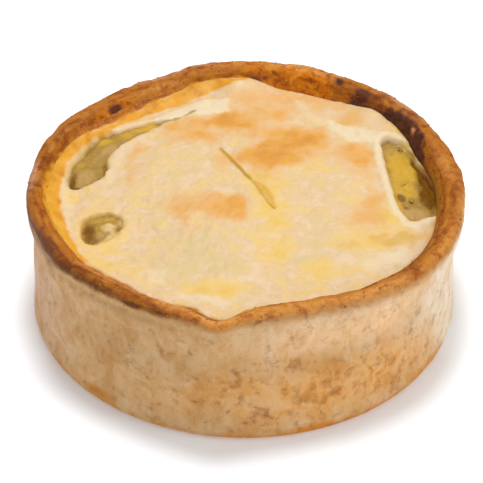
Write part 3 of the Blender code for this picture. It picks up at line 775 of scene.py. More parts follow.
def turned_tree():
    """Node tree that turns a profile's points round the Z axis and closes the surface."""
    tree, given = new_tree("turned_pastry", {
        "Profile": "Geometry",
        "Steps round the pie": "Int",
        "Merge distance": "Float",
        "Material": "Material",
    })
    profile, steps = given["Profile"], given["Steps round the pie"]
    rows = add_node(tree, "GeometryNodeAttributeDomainSize", {"Geometry": profile}).outputs["Point Count"]
    columns = add_node(tree, "FunctionNodeIntegerMath", {0: steps, 1: 1}, operation="ADD").outputs[0]
    grid = add_node(tree, "GeometryNodeMeshGrid", {"Vertices X": columns, "Vertices Y": rows}).outputs["Mesh"]
    index = add_node(tree, "GeometryNodeInputIndex").outputs[0]
    place = {0: index, 1: rows}
    row = add_node(tree, "FunctionNodeIntegerMath", place, operation="MODULO").outputs[0]
    column = add_node(tree, "FunctionNodeIntegerMath", place, operation="DIVIDE_FLOOR").outputs[0]
    spot = add_node(tree, "GeometryNodeInputPosition").outputs[0]
    corner = add_node(
        tree, "GeometryNodeSampleIndex", {"Geometry": profile, "Value": spot, "Index": row},
        data_type="FLOAT_VECTOR",
    ).outputs["Value"]
    share = add_node(tree, "ShaderNodeMath", {0: column, 1: steps}, operation="DIVIDE").outputs[0]
    angle = add_node(tree, "ShaderNodeMath", {0: share, 1: math.tau}, operation="MULTIPLY").outputs[0]
    turned = add_node(
        tree, "ShaderNodeVectorRotate", {"Vector": corner, "Angle": angle}, rotation_type="Z_AXIS",
    ).outputs[0]
    placed = add_node(tree, "GeometryNodeSetPosition", {"Geometry": grid, "Position": turned}).outputs[0]
    closed = add_node(
        tree, "GeometryNodeMergeByDistance", {"Geometry": placed, "Distance": given["Merge distance"]},
    ).outputs[0]
    outward = add_node(tree, "GeometryNodeFlipFaces", {0: closed}).outputs[0]
    return end_tree(tree, outward, given["Material"])


def turned_mesh(name, profile, steps, material):
    """A profile, given in millimetres from top to bottom of its outer side, turned once round."""
    base = bpy.data.meshes.new(name + "_profile")
    base.from_pydata([(radius * MM, 0.0, height * MM) for radius, height in profile], [], [])
    return grown(name, base, turned_tree(), {
        "Steps round the pie": steps,
        "Merge distance": MERGE_DISTANCE,
        "Material": material,
    })


def outer_share(radius):
    """1 on the outer side of the crest and 0 on the slope inside it."""
    return smooth_rise(-0.6, 0.6, radius - CREST_MIDDLE)


def case_masks(mesh, points):
    """Store where the case is browned, golden, charred and so on."""
    radius, angle = polar(points)
    height = points[:, 2]
    ragged = grain(points, 2.4, 3, seed=4.0)
    outside = outer_share(radius)
    inside = 1.0 - outside
    above = smooth_rise(*RIM_LOOKS_FROM, height)
    brown_line = along_the_rim(angle, BROWN_FROM)
    browned = (height - brown_line + 0.4 * ragged) / along_the_rim(angle, BROWN_FADE) + 0.5
    browned = np.where(radius > CREST_MIDDLE, np.clip(browned, 0.0, 1.0), above)
    # Painted shade along the crest's lower outer edge, over its darker browning
    shade_below_crest = along_the_rim(angle, RIM_UNDERLINE_SHADE) * bell(height - brown_line - 0.4, 0.9)
    char = smooth_rise(1.0, -0.7, radius - along_the_rim(angle, CHAR_OUT_TO) + 0.6 * ragged) * inside * above
    char *= stretch(CHAR_STRETCH, angle)
    char *= 1.0 - soft_patches(angle, radius, CHAR_GLINTS)
    # Painted shade of the recess on the inner rim by the gap at the right
    juicy = stretch(RECESS_SHADE_STRETCH, turn_from(0.0, angle))
    juicy *= smooth_rise(*RECESS_SHADE_FROM, height + 0.8 * ragged) * inside
    spots = soft_patches(angle, radius, RIM_SPOTS) * above * (height > RIM_SPOTS_FROM)
    ring = along_the_rim(angle, BASE_RING) * smooth_rise(BASE_RING_HEIGHT, 0.5, height)
    masks = {
        "browned": browned,
        "underlined": np.maximum(shade_below_crest, soft_patches(angle, height, RIM_STREAKS)) * outside,
        "golden": golden(radius, angle, ragged) * inside * above,
        "charred": np.maximum(char, spots),
        "juicy": juicy,
        "streaked": streaks_along_rim(points),
        "scorched": np.maximum(soft_patches(angle, height, BASE_BROWNED), ring) * outside,
        "crumby": browned * (1.0 - char) * smooth_rise(*RIM_CRUMBS_FROM, height),
        "floury": outside * (1.0 - browned) * smooth_rise(*FLOUR_FROM, height),
    }
    for name, patches in RIM_PATCHES.items():
        masks[name] = soft_patches(angle, radius, patches) * above
    for name, patches in WALL_PATCHES.items():
        masks[name] = soft_patches(angle, height, patches) * outside
    store_masks(mesh, masks)


def case_relief(points, settings):
    """How far the baked surface stands out from the true case: crags on the rim, dents in the wall."""
    radius, angle = polar(points)
    height = points[:, 2]
    outside = outer_share(radius)
    on_crest = outside * smooth_rise(27.0, 30.0, height) + (1.0 - outside) * smooth_rise(28.5, 30.5, height)
    crags = 0.6 * grain(points, CRAG_SIZES[0], 3, seed=1.0)
    crags -= 0.6 * np.abs(grain(points * (0.6, 0.6, 1.0), CRAG_SIZES[1], 2, seed=2.0))
    smoother = 1.0 - 0.6 * stretch(SMOOTH_STRETCH, angle) * (1.0 - outside)
    rougher = 1.0 + soft_patches(angle, radius, RIM_PATCHES["caramel"])
    on_wall = outside * (1.0 - on_crest) * smooth_rise(0.2, 2.0, height)
    upright = points * (1.0, 1.0, 0.7)
    dents = grain(upright, DENT_SIZES[0], 2, seed=5.0) + 0.3 * grain(upright, DENT_SIZES[1], 2, seed=6.0)
    crease = round_the_pie(RIM_CREASES, angle) * bell(height - CREASE_HEIGHT, CREASE_WIDTH) * outside
    relief = settings.crag_depth / MM * crags * smoother * rougher * on_crest
    return relief + settings.dent_depth / MM * dents * on_wall - crease


def lid_form(points):
    """The lid's large swellings and raised stretches of edge, as the model has them."""
    radius, angle = polar(points)
    relief = LID_WAVE * grain(flattened(points), LID_WAVE_LENGTH)
    for x, y, spread, height in LID_SWELLINGS:
        relief += height * bell(np.hypot(points[:, 0] - x, points[:, 1] - y), spread)
    relief *= smooth_rise(LID_RADIUS, LID_RADIUS * 0.85, radius)
    return relief + round_the_pie(LID_EDGE_RISES, angle) * smooth_rise(LID_EDGE_RISE_FROM, LID_RADIUS, radius)


def lid_relief(points, gap, settings):
    """How far the baked lid's top stands above the true mound."""
    places = points[:, :2]
    radius, angle = polar(points)
    flat = flattened(points)
    crumpled = grain(flat, CRUMPLE_SIZES[0], 3, seed=3.0) + 0.35 * grain(flat, CRUMPLE_SIZES[1], 2, seed=9.0)
    relief = lid_form(points) + settings.crumple_depth / MM * crumpled
    ragged = 0.3 * grain(flat, 1.8, seed=11.0)
    for route, width, _, stands in RAW_BANDS:
        away = distance_to_route(places, route) + ragged
        relief += stands * smooth_rise(width / 2 + 0.7, width / 2 - 0.7, away)
    for outline, _, stands in RAW_SHEETS:
        away = distance_to_outline(places, np.array(outline, float)) + ragged
        relief += stands * smooth_rise(0.6, -0.6, away)
    relief -= SLIT_DEPTH * smooth_rise(0.5, 0.05, distance_to_route(places, SLIT_ROUTE))
    relief -= EYE_DEPTH * smooth_rise(0.9, -0.9, distance_to_outline(places, smooth_outline(SLIT_EYE)))
    relief -= CRACK_DEPTH * smooth_rise(0.6, 0.1, distance_to_route(places, CRACK_ROUTE))
    climb = (radius - LID_CLIMB_FROM) / (LID_RADIUS + lid_reach(angle, 1.0) - LID_CLIMB_FROM)
    further = LID_CLIMB * stretch(GOLD_STRETCH, angle) - round_the_pie(LID_EDGE_RISES, angle)
    relief += np.maximum(further, 0.0) * np.clip(climb, 0.0, 1.0) ** 2
    relief += TORN_LIP_HEIGHT * bell(gap - 1.6, 1.1) - SLIVER_DROP * bite_sliver(points, gap)
    return relief - GAP_DEPTH * smooth_rise(0.55, -0.5, gap)


def golden(radius, angle, unevenness):
    """How golden the slope inside the rim is at each point."""
    from_here = smooth_rise(-1.0, 0.8, radius - along_the_rim(angle, GOLD_OUT_FROM) + 0.6 * unevenness)
    to_here = smooth_rise(0.8, -0.7, radius - along_the_rim(angle, GOLD_OUT_TO) + 0.4 * unevenness)
    return from_here * to_here * stretch(GOLD_STRETCH, angle)


def bite_sliver(points, gap):
    """1 on the narrow slope of pastry left between the gap at the right and the case."""
    radius, angle = polar(points)
    at_right = smooth_rise(32.0, 25.0, angle) * (points[:, 0] > 0.0)
    return smooth_rise(2.2, 1.4, gap) * smooth_rise(41.0, 42.0, radius) * at_right


def case_inner_radius(height):
    """Radius of the case's inner face at a height, up to where its slope meets the crest."""
    share = np.clip((height - LID_EDGE_HEIGHT) / (SLOPE_TOP[1] - LID_EDGE_HEIGHT), 0.0, 1.0)
    return INNER_RADIUS + (SLOPE_TOP[0] - INNER_RADIUS) * share


def lid_reach(angle, share):
    """How far past its true radius the lid goes to meet the case, near its top (1) or its base (0)."""
    climb = np.maximum(round_the_pie(LID_EDGE_RISES, angle), LID_CLIMB * stretch(GOLD_STRETCH, angle))
    return case_inner_radius(LID_EDGE_HEIGHT + share * climb) + LID_OVERLAP - LID_RADIUS


def lid_masks(mesh, points, gap):
    """Store where the lid is browned, greasy, raw and so on."""
    places = points[:, :2]
    radius, angle = polar(points)
    warp = warp_at(points, 3.4, 3, 20.0)
    warped = places + 1.5 * warp
    raw = patches_at(warped, LID_RAW)
    for route, width, rawness, _ in RAW_BANDS:
        away = distance_to_route(places + 0.5 * warp, route)
        raw = np.maximum(raw, rawness * smooth_rise(width / 2 + 0.8, width / 2 - 0.6, away))
    for outline, rawness, _ in RAW_SHEETS:
        away = distance_to_outline(places + 0.8 * warp, np.array(outline, float))
        raw = np.maximum(raw, rawness * smooth_rise(0.8, -1.0, away))
    beyond = smooth_rise(-0.4, 0.4, radius - along_the_rim(angle, GOLD_OUT_TO) + 0.4 * warp[:, 0])
    beyond *= stretch(GOLD_STRETCH, angle)
    eye = smooth_rise(1.1, -1.0, distance_to_outline(places + 0.3 * warp, smooth_outline(SLIT_EYE)))
    # The darker line along the slit is painted shade in its cut, fainter where it opens into the eye
    slit = smooth_rise(0.85, 0.05, distance_to_route(places + 0.1 * warp, SLIT_ROUTE)) * (1.0 - 0.4 * eye)
    near_slit = smooth_rise(1.6, 0.2, distance_to_route(places + 0.3 * warp, SLIT_ROUTE))
    crack = smooth_rise(0.9, 0.2, distance_to_route(places + 0.3 * warp, CRACK_ROUTE))
    at_hole = smooth_rise(*HOLE_FADE, np.hypot(places[:, 0] - HOLE_MIDDLE[0], places[:, 1] - HOLE_MIDDLE[1]))
    torn_edge = smooth_rise(0.5, -0.3, gap) * (1.0 - 0.7 * at_hole)
    sliver = bite_sliver(points, gap)
    masks = {name: patches_at(warped, patches) for name, patches in LID_PATCHES.items()}
    store_masks(mesh, masks | {
        "raw": raw,
        "golden": golden(radius, angle, warp[:, 0]),
        "crusted": np.maximum(beyond, soft_patches(angle, radius, LID_CRUSTED)),
        "streaked": streaks_along_rim(points),
        # Painted shade on the sliver of pastry in the recess by the gap at the right
        "juicy": sliver * smooth_rise(22.0, 14.0, angle),
        "yolky": np.maximum(eye, 0.5 * near_slit),
        "slit": slit,
        "olive": np.maximum.reduce([crack * 0.6, torn_edge, 0.8 * sliver]),
        "soaked": np.maximum(smooth_rise(1.8, -0.2, gap + 0.6 * warp[:, 1]), patches_at(warped, LID_SOAKED)),
    })


def filling_surface(points, settings):
    """Height of the filling where it shows in the gaps: soft lumps a little below the lid's top."""
    radius, _ = polar(points)
    places = points[:, :2]
    flat = flattened(points)
    lumps = LUMP_HEIGHTS[0] * grain(flat, LUMP_SIZES[0], 2, seed=30.0)
    lumps += LUMP_HEIGHTS[1] * np.abs(grain(flat, LUMP_SIZES[1], 2, seed=31.0))
    sunk = settings.sunk_by / MM * (1.0 - 0.5 * patches_at(places, FILLING_HIGH))
    hollows = HOLLOW_DEPTH * patches_at(places, FILLING_PATCHES["deep"])
    side_dip = SIDE_DIP * smooth_rise(41.0, 43.2, radius) * (points[:, 0] > 0.0)
    bits = BIT_HEIGHT * patches_at(places, FILLING_PATCHES["pastry"])
    return lid_top(radius) + lid_form(points) - sunk + lumps - hollows - side_dip + bits


def filling_masks(mesh, points, gap):
    """Store where the filling is yellow, clear, in painted shade in its hollows, and open to the air."""
    warped = points[:, :2] + 0.4 * warp_at(points, 2.0, 2, 40.0)
    masks = {name: patches_at(warped, patches) for name, patches in FILLING_PATCHES.items()}
    masks["open"] = (gap < -1.4) & (points[:, 2] > LID_EDGE_HEIGHT - LID_THICKNESS)
    store_masks(mesh, masks)


def gap_cutter(name, outline):
    """A closed block in the shape of a gap, a little smaller, as a cutter object."""
    corners = smooth_outline(outline)
    following = np.roll(corners, -1, axis=0)
    along = following - np.roll(corners, 1, axis=0)
    aside = np.column_stack((-along[:, 1], along[:, 0])) / np.hypot(*along.T)[:, None]
    area = np.sum(corners[:, 0] * following[:, 1] - following[:, 0] * corners[:, 1])
    corners = corners + aside * GAP_INSET * math.copysign(1.0, area)
    block = bmesh.new()
    foot = (LID_EDGE_HEIGHT - CUTTER_DROP) * MM
    face = block.faces.new([block.verts.new((x * MM, y * MM, foot)) for x, y in corners])
    raised = bmesh.ops.extrude_face_region(block, geom=[face])["geom"]
    upper = [corner for corner in raised if isinstance(corner, bmesh.types.BMVert)]
    bmesh.ops.translate(block, verts=upper, vec=(0, 0, CUTTER_HEIGHT * MM))
    bmesh.ops.recalc_face_normals(block, faces=block.faces)
    mesh = bpy.data.meshes.new(name)
    block.to_mesh(mesh)
    block.free()
    return new_object(name, mesh)


def cut_by(mesh, cutters):
    """A copy of a closed mesh with the cutters taken out of it; the cutters are then removed."""
    body = new_object(mesh.name + "_uncut", mesh)
    for cutter in cutters:
        cut = body.modifiers.new(cutter.name, "BOOLEAN")
        cut.operation = "DIFFERENCE"
        cut.solver = "MANIFOLD"
        cut.object = cutter
    bpy.context.view_layer.update()
    result = bpy.data.meshes.new_from_object(body.evaluated_get(bpy.context.evaluated_depsgraph_get()))
    for obj in (body, *cutters):
        bpy.data.objects.remove(obj)
    return result


def finish_piece(name, mesh, slot, *replaced):
    """Show a finished mesh as a piece of the pie that stands for nodes of the model."""
    obj = new_object(name, mesh)
    mesh.name = name
    mesh.shade_smooth()
    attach(obj, BODY)
    if replaced:
        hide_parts(*replaced)
    return obj


def new_material(name):
    """An empty node material with its output and a Principled shader, and the object's coordinates."""
    material = bpy.data.materials.new(name)
    material.use_nodes = True
    tree = material.node_tree
    tree.nodes.clear()
    shader = add_node(tree, "ShaderNodeBsdfPrincipled")
    add_node(tree, "ShaderNodeOutputMaterial", {"Surface": shader.outputs[0]})
    coordinates = add_node(tree, "ShaderNodeTexCoord").outputs["Object"]
    return material, tree, shader, coordinates


def pattern(tree, coordinates, size, octaves=2.0, roughness=0.5, distortion=0.0):
    """Cloudy pattern whose grains are as large as the size in millimetres, spread from 0 to 1."""
    clouds = add_node(tree, "ShaderNodeTexNoise", {
        "Vector": coordinates,
        "Scale": 1.0 / (size * MM),
        "Detail": octaves,
        "Roughness": roughness,
        "Distortion": distortion,
    })
    return between(tree, clouds.outputs["Fac"], *NOISE_SPREAD)


def between(tree, value, low, high, cover=1.0):
    """A value taken smoothly from between low and high to between 0 and its cover."""
    mapped = add_node(
        tree, "ShaderNodeMapRange",
        {"Value": value, "From Min": low, "From Max": high, "To Min": 0.0, "To Max": cover},
        interpolation_type="SMOOTHSTEP",
    )
    return mapped.outputs["Result"]


def uneven(tree, name, *patterns):
    """A mask stored on the mesh, made uneven by patterns, each with its share."""
    value = add_node(tree, "ShaderNodeAttribute", attribute_name=name).outputs["Fac"]
    for clouds, share in patterns:
        centred = add_node(tree, "ShaderNodeMath", {0: clouds, 1: 0.5}, operation="SUBTRACT").outputs[0]
        inputs = {0: centred, 1: share, 2: value}
        value = add_node(tree, "ShaderNodeMath", inputs, operation="MULTIPLY_ADD").outputs[0]
    return value


def layered(tree, colour, layers, blend="MIX"):
    """
    A colour with further colours laid over it in turn.

    Each layer has its mask, the values between which that mask comes in, with how far it covers if that
    isn't wholly, and its colour. A mask is a pattern, or the name of a mask that is stored on the mesh
    with the patterns that make it uneven.
    """
    colour = paint(colour)
    for mask, shows, layer in layers:
        if isinstance(mask, tuple):
            mask = uneven(tree, *mask)
        if shows != AS_STORED:
            mask = between(tree, mask, *shows)
        inputs = {0: mask, 6: colour, 7: paint(layer)}
        colour = add_node(tree, "ShaderNodeMix", inputs, data_type="RGBA", blend_type=blend).outputs[2]
    return colour


def bumped(tree, shader, depths):
    """Give a shader fine relief from patterns, each with its depth in millimetres."""
    normal = None
    for height, depth in depths:
        inputs = {"Height": height, "Distance": depth * MM, "Strength": 1.0}
        if normal is not None:
            inputs["Normal"] = normal
        normal = add_node(tree, "ShaderNodeBump", inputs).outputs[0]
    tree.links.new(normal, shader.inputs["Normal"])


def finished(tree, shader, surface, roughness, sheen, softness, depth, spread):
    """Give a shader its colour, and how dull, shiny and translucent it is; depth is in millimetres."""
    tree.links.new(surface, shader.inputs["Base Color"])
    for socket, value in (
        ("Roughness", roughness),
        ("Specular IOR Level", sheen),
        ("Subsurface Weight", softness),
        ("Subsurface Scale", depth * MM),
        ("Subsurface Radius", spread),
    ):
        shader.inputs[socket].default_value = value


def golden_crust(tree, base, mottle, fine):
    """Greasy golden dough: orange with browner clouds and yellow flecks."""
    return layered(tree, base, [
        (mottle, (0.55, 1.0, 0.7), "#CE8420"),
        (mottle, (0.4, 0.0, 0.6), "#E8B04A"),
        (fine, (0.6, 1.0, 0.3), "#C9801F"),
    ])


def baked_crust_material(colours):
    """Hot water crust baked in a tin: dry and matt, with a browned, slightly greasy rim."""
    material, tree, shader, coordinates = new_material("baked_hot_water_crust")
    broad = pattern(tree, coordinates, size=11.0, octaves=2.0)
    mottle = pattern(tree, coordinates, size=3.6, octaves=4.0, roughness=0.6, distortion=0.6)
    spots = pattern(tree, coordinates, size=1.6, octaves=3.0, roughness=0.6, distortion=0.3)
    fine = pattern(tree, coordinates, size=0.7, octaves=3.0, roughness=0.65)
    clouds = pattern(tree, coordinates, size=4.6, octaves=1.5, roughness=0.5, distortion=0.9)
    upright = add_node(tree, "ShaderNodeMapping", {"Vector": coordinates, "Scale": (1.0, 1.0, 0.6)})
    brushed = pattern(tree, upright.outputs[0], size=2.8, octaves=3.0, roughness=0.55, distortion=0.8)
    wall = layered(tree, colours.wall, [
        # Pink dough, with painted fill light at the left
        (("pink",), AS_STORED, "#E2BA9A"),
        (("toasted", (clouds, 0.22), (brushed, 0.12)), (0.1, 1.05), colours.wall_toasted),
        (("toasted", (spots, 0.4), (mottle, 0.6), (brushed, 0.5)), (0.55, 1.3, 0.7), "#C48648"),
        (("light_top", (clouds, 0.2)), (0.0, 1.0), "#F8CE9E"),
        # Paler dough, and painted light on the wall's sides and near its base
        (("paled", (clouds, 0.12)), (0.0, 0.95), colours.wall_pale_and_lit),
        (clouds, (0.45, 0.0, 0.12), "#F4DEC2"),
    ])
    wall = layered(tree, wall, [
        (broad, (0.4, 1.0), "#F6EEE0"),
        (clouds, (0.4, 1.0), "#F9F3EA"),
        (brushed, (0.3, 1.0), "#F7F0E5"),
        (fine, (0.5, 1.0), "#FBF7F1"),
    ], "MULTIPLY")
    streaks = uneven(tree, "streaked", (fine, 0.2))
    crest = layered(tree, colours.crest, [
        (broad, (0.5, 1.0, 0.5), "#BE7628"),
        (("golder", (mottle, 0.4)), (0.15, 0.85), "#D99749"),
        # Deeper browning, and painted shade along the crest's inner edge
        (("darker", (mottle, 0.4)), (0.15, 0.85), "#85480F"),
        (streaks, (0.5, 1.0, 0.6), "#D28E3C"),
        # Painted sheen on the rim's outer edge and a painted glint on the char
        (("paler",), (0.2, 0.9), "#C48E6A"),
    ])
    crest = layered(tree, crest, [
        (streaks, (0.5, 0.0), "#CCA47C"),
        (mottle, (0.5, 1.0), "#EAD4BA"),
        (spots, (0.55, 1.0), "#EEDDC8"),
        (fine, (0.6, 1.0), "#F2E6D8"),
    ], "MULTIPLY")
    caramel = layered(tree, "#C8720A", [
        (spots, (0.5, 1.0, 0.8), "#8C4604"),
        (mottle, (0.45, 0.0, 0.9), "#E09628"),
    ])
    char = layered(tree, colours.char, [
        (mottle, (0.45, 1.0, 0.8), "#6C3A24"),
        (spots, (0.5, 0.0, 0.6), "#38201A"),
    ])
    surface = layered(tree, wall, [
        (("scorched", (clouds, 0.3), (spots, 0.15)), (0.05, 0.9), colours.scorched),
        (("browned", (spots, 0.08)), (0.0, 0.6, 0.85), "#CC9458"),
        (("browned", (spots, 0.1)), (0.4, 0.95), crest),
        (("caramel", (mottle, 0.4)), (0.2, 0.7), caramel),
        # A dark line along the crest's lower outer edge: painted shade over browning, with dark streaks
        (("underlined", (mottle, 0.4)), (0.1, 1.0, 0.85), "#5E3012"),
        # Painted shade under the overhanging lip, and a burnt spot near the base
        (("smoked", (mottle, 0.2)), (0.0, 1.0, 0.85), "#7C4C38"),
        (("golden", (mottle, 0.3)), (0.15, 0.85), golden_crust(tree, colours.golden, mottle, fine)),
        # Painted shade of the recess by the gap at the right
        (("juicy", (mottle, 0.6)), (0.3, 0.9), "#9A6A1C"),
        (("charred", (spots, 0.4), (mottle, 0.3)), (0.0, 0.7, 0.85), "#7E4628"),
        (("charred", (spots, 0.45), (mottle, 0.35)), (0.45, 1.05), char),
    ])
    finished(
        tree, shader, surface,
        roughness=0.7, sheen=0.15, softness=0.12, depth=1.5, spread=(1.0, 0.5, 0.25),
    )
    bumped(tree, shader, [(mottle, 0.03), (spots, 0.02), (fine, 0.012)])
    return material


def lid_pastry_material(colours):
    """Pale pastry lid, steamed from below by its filling: soft, slightly greasy and toasted in patches."""
    material, tree, shader, coordinates = new_material("greasy_baked_lid_pastry")
    broad = pattern(tree, coordinates, size=8.0, octaves=2.0)
    mottle = pattern(tree, coordinates, size=3.8, octaves=2.5, roughness=0.5, distortion=0.2)
    creases = pattern(tree, coordinates, size=1.7, octaves=2.0, roughness=0.5, distortion=1.2)
    fine = pattern(tree, coordinates, size=0.8, octaves=3.0, roughness=0.6)
    toast = uneven(tree, "browned", (mottle, 0.2), (broad, 0.2))
    grease = uneven(tree, "greasy", (mottle, 0.2), (broad, 0.35))
    streaks = uneven(tree, "streaked", (fine, 0.5))
    crusted = layered(tree, "#AE6210", [
        (streaks, (0.5, 1.0, 0.8), "#CC8228"),
        (streaks, (0.5, 0.0, 0.9), "#864204"),
        (creases, (0.5, 1.0, 0.7), "#C87C1E"),
    ])
    surface = layered(tree, colours.dough, [
        (broad, (0.45, 1.0, 0.5), "#E8C79E"),
        (mottle, (0.45, 1.0, 0.65), "#EBCB7E"),
        (mottle, (0.45, 0.0, 0.5), "#ECD2B4"),
        (creases, (0.55, 1.0, 0.4), "#D9B886"),
        (("dulled", (mottle, 0.3)), (0.1, 1.0, 0.85), "#D9C28C"),
        (grease, (0.1, 1.1, 0.9), colours.greasy),
        (toast, (0.05, 0.55), "#E5B87E"),
        (toast, (0.35, 0.85), colours.browned),
        (toast, (0.65, 1.1), "#D69036"),
        (grease, (0.7, 1.3, 0.7), "#E4BA44"),
        (("soaked", (mottle, 0.4)), (0.25, 1.0, 0.7), "#D8B058"),
        (("raw", (mottle, 0.25)), (0.05, 1.0), colours.raw),
        (("crusted", (mottle, 0.3)), (0.2, 0.8), crusted),
        (("golden", (mottle, 0.3)), (0.1, 0.8), golden_crust(tree, colours.golden, mottle, fine)),
        (("yolky", (mottle, 0.3)), (0.2, 0.95), "#DAAA3E"),
        # Painted shade in the slit's cut
        (("slit", (mottle, 0.4)), (0.1, 1.0, 0.85), "#C08F2C"),
        (("olive", (mottle, 0.4)), (0.2, 0.9), "#A68A40"),
        # Painted shade on the sliver in the recess by the gap at the right
        (("juicy", (mottle, 0.3)), (0.2, 0.8), "#7E4C0A"),
    ])
    finished(
        tree, shader, surface,
        roughness=0.5, sheen=0.3, softness=0.25, depth=2.0, spread=(1.0, 0.6, 0.3),
    )
    bumped(tree, shader, [(mottle, 0.07), (creases, 0.03), (fine, 0.02)])
    return material


def onion_filling_material(colours):
    """Onion cooked soft: wet and half clear, olive with yellow fat and painted shade in its hollows."""
    material, tree, shader, coordinates = new_material("soft_cooked_onion")
    mottle = pattern(tree, coordinates, size=2.2, octaves=3.0, roughness=0.5, distortion=0.5)
    fine = pattern(tree, coordinates, size=0.8, octaves=2.0)
    surface = layered(tree, colours.olive, [
        (mottle, (0.5, 1.0, 0.5), "#96742E"),
        (fine, (0.4, 0.0, 0.3), "#C4A050"),
        (("clear", (mottle, 0.3)), (0.1, 0.9), "#BE9A5A"),
        (("yellow", (mottle, 0.3)), (0.1, 0.9), colours.yellow),
        # Painted shade in the hollows
        (("deep", (mottle, 0.3)), (0.1, 0.9), colours.deep),
        (("pastry", (fine, 0.3)), (0.2, 0.9), "#DDBB7E"),
    ])
    finished(
        tree, shader, surface,
        roughness=0.42, sheen=0.2, softness=0.15, depth=1.2, spread=(1.0, 0.8, 0.35),
    )
    bumped(tree, shader, [(mottle, 0.12), (fine, 0.04)])
    return material


def crumb_material(name, darker, lighter):
    """Dry crumbs or flour: matt, each bit a little lighter or darker than the next."""
    material, tree, shader, _ = new_material(name)
    surface = layered(tree, darker, [(("tint",), AS_STORED, lighter)])
    tree.links.new(surface, shader.inputs["Base Color"])
    shader.inputs["Roughness"].default_value = 0.8
    shader.inputs["Specular IOR Level"].default_value = 0.2
    return material


def crumb_shape(tree):
    """A small lump with uneven faces."""
    ball = add_node(tree, "GeometryNodeMeshIcoSphere", {"Radius": 0.5, "Subdivisions": 2}).outputs[0]
    spot = add_node(tree, "GeometryNodeInputPosition").outputs[0]
    rough = add_node(tree, "ShaderNodeTexNoise", {"Vector": spot, "Scale": 2.5}).outputs["Color"]
    halves = {0: rough, 1: (0.5, 0.5, 0.5)}
    centred = add_node(tree, "ShaderNodeVectorMath", halves, operation="SUBTRACT").outputs[0]
    pushed = add_node(tree, "ShaderNodeVectorMath", {0: centred, "Scale": 0.9}, operation="SCALE").outputs[0]
    return add_node(tree, "GeometryNodeSetPosition", {"Geometry": ball, "Offset": pushed}).outputs[0]


def shred_shape(tree):
    """A short bent strip with rounded, thinner ends, one unit long."""
    bend = add_node(
        tree, "GeometryNodeCurveArc",
        {"Resolution": 9, "Radius": 0.55, "Sweep Angle": math.radians(115.0)}, mode="RADIUS",
    ).outputs[0]
    share = add_node(tree, "GeometryNodeSplineParameter").outputs["Factor"]
    bulge = add_node(tree, "ShaderNodeMath", {0: share, 1: math.pi}, operation="MULTIPLY").outputs[0]
    bulge = add_node(tree, "ShaderNodeMath", {0: bulge}, operation="SINE").outputs[0]
    bulge = add_node(tree, "ShaderNodeMath", {0: bulge, 1: 0.45}, operation="POWER").outputs[0]
    bulge = add_node(tree, "ShaderNodeMath", {0: bulge, 1: 0.02}, operation="MAXIMUM").outputs[0]
    ring = add_node(tree, "GeometryNodeCurvePrimitiveCircle", {"Resolution": 8, "Radius": 0.17}).outputs[0]
    tapered = add_node(tree, "GeometryNodeSetCurveRadius", {"Curve": bend, "Radius": bulge}).outputs[0]
    body = add_node(
        tree, "GeometryNodeCurveToMesh",
        {"Curve": tapered, "Profile Curve": ring, "Scale": bulge, "Fill Caps": True},
    ).outputs[0]
    return add_node(
        tree, "GeometryNodeTransform",
        {"Geometry": body, "Translation": (-0.3, -0.3, -0.02), "Scale": (1.0, 1.0, 0.4)},
    ).outputs[0]


def scattered_tree(name, mask_name, shape):
    """Node tree that scatters a small shape where a mask is set, each copy turned and sized at random."""
    tree, given = new_tree(name, {
        "Surface": "Geometry",
        "Pieces a square metre": "Float",
        "Smallest": "Float",
        "Largest": "Float",
        "Flatness": "Float",
        "Seed": "Int",
        "Material": "Material",
    })
    seed = given["Seed"]
    mask = add_node(tree, "GeometryNodeInputNamedAttribute", {"Name": mask_name}, data_type="FLOAT")
    share = {0: mask.outputs[0], 1: given["Pieces a square metre"]}
    density = add_node(tree, "ShaderNodeMath", share, operation="MULTIPLY").outputs[0]
    spread = add_node(
        tree, "GeometryNodeDistributePointsOnFaces",
        {"Mesh": given["Surface"], "Density": density, "Seed": seed},
    ).outputs
    turn = add_node(
        tree, "FunctionNodeRandomValue",
        {0: (0.0, 0.0, 0.0), 1: (0.5, 0.5, math.tau), "Seed": seed}, data_type="FLOAT_VECTOR",
    ).outputs[0]
    turned = add_node(
        tree, "FunctionNodeRotateRotation",
        {"Rotation": spread["Rotation"], "Rotate By": turn}, rotation_space="LOCAL",
    ).outputs[0]
    size = add_node(
        tree, "FunctionNodeRandomValue",
        {2: given["Smallest"], 3: given["Largest"], "Seed": seed}, data_type="FLOAT",
    ).outputs[1]
    thickness = add_node(tree, "ShaderNodeMath", {0: size, 1: given["Flatness"]}, operation="MULTIPLY")
    scale = add_node(tree, "ShaderNodeCombineXYZ", {"X": size, "Y": size, "Z": thickness.outputs[0]})
    copies = add_node(tree, "GeometryNodeInstanceOnPoints", {
        "Points": spread["Points"],
        "Instance": shape(tree),
        "Rotation": turned,
        "Scale": scale.outputs[0],
    }).outputs[0]
    tint = add_node(tree, "FunctionNodeRandomValue", {2: 0.0, 3: 1.0, "Seed": TINT_SEED}, data_type="FLOAT")
    tinted = add_node(
        tree, "GeometryNodeStoreNamedAttribute",
        {"Geometry": copies, "Name": "tint", "Value": tint.outputs[1]}, data_type="FLOAT", domain="INSTANCE",
    ).outputs[0]
    return end_tree(tree, tinted, given["Material"])


def scattered(name, surface, mask_name, shape, amount, sizes, flatness, seed, material):
    """Mesh of small pieces scattered over a surface; amount is to a square centimetre."""
    return grown(name, surface.copy(), scattered_tree(name, mask_name, shape), {
        "Pieces a square metre": amount * SQUARE_CENTIMETRES,
        "Smallest": sizes[0] * MM,
        "Largest": sizes[1] * MM,
        "Flatness": flatness,
        "Seed": seed,
        "Material": material,
    })


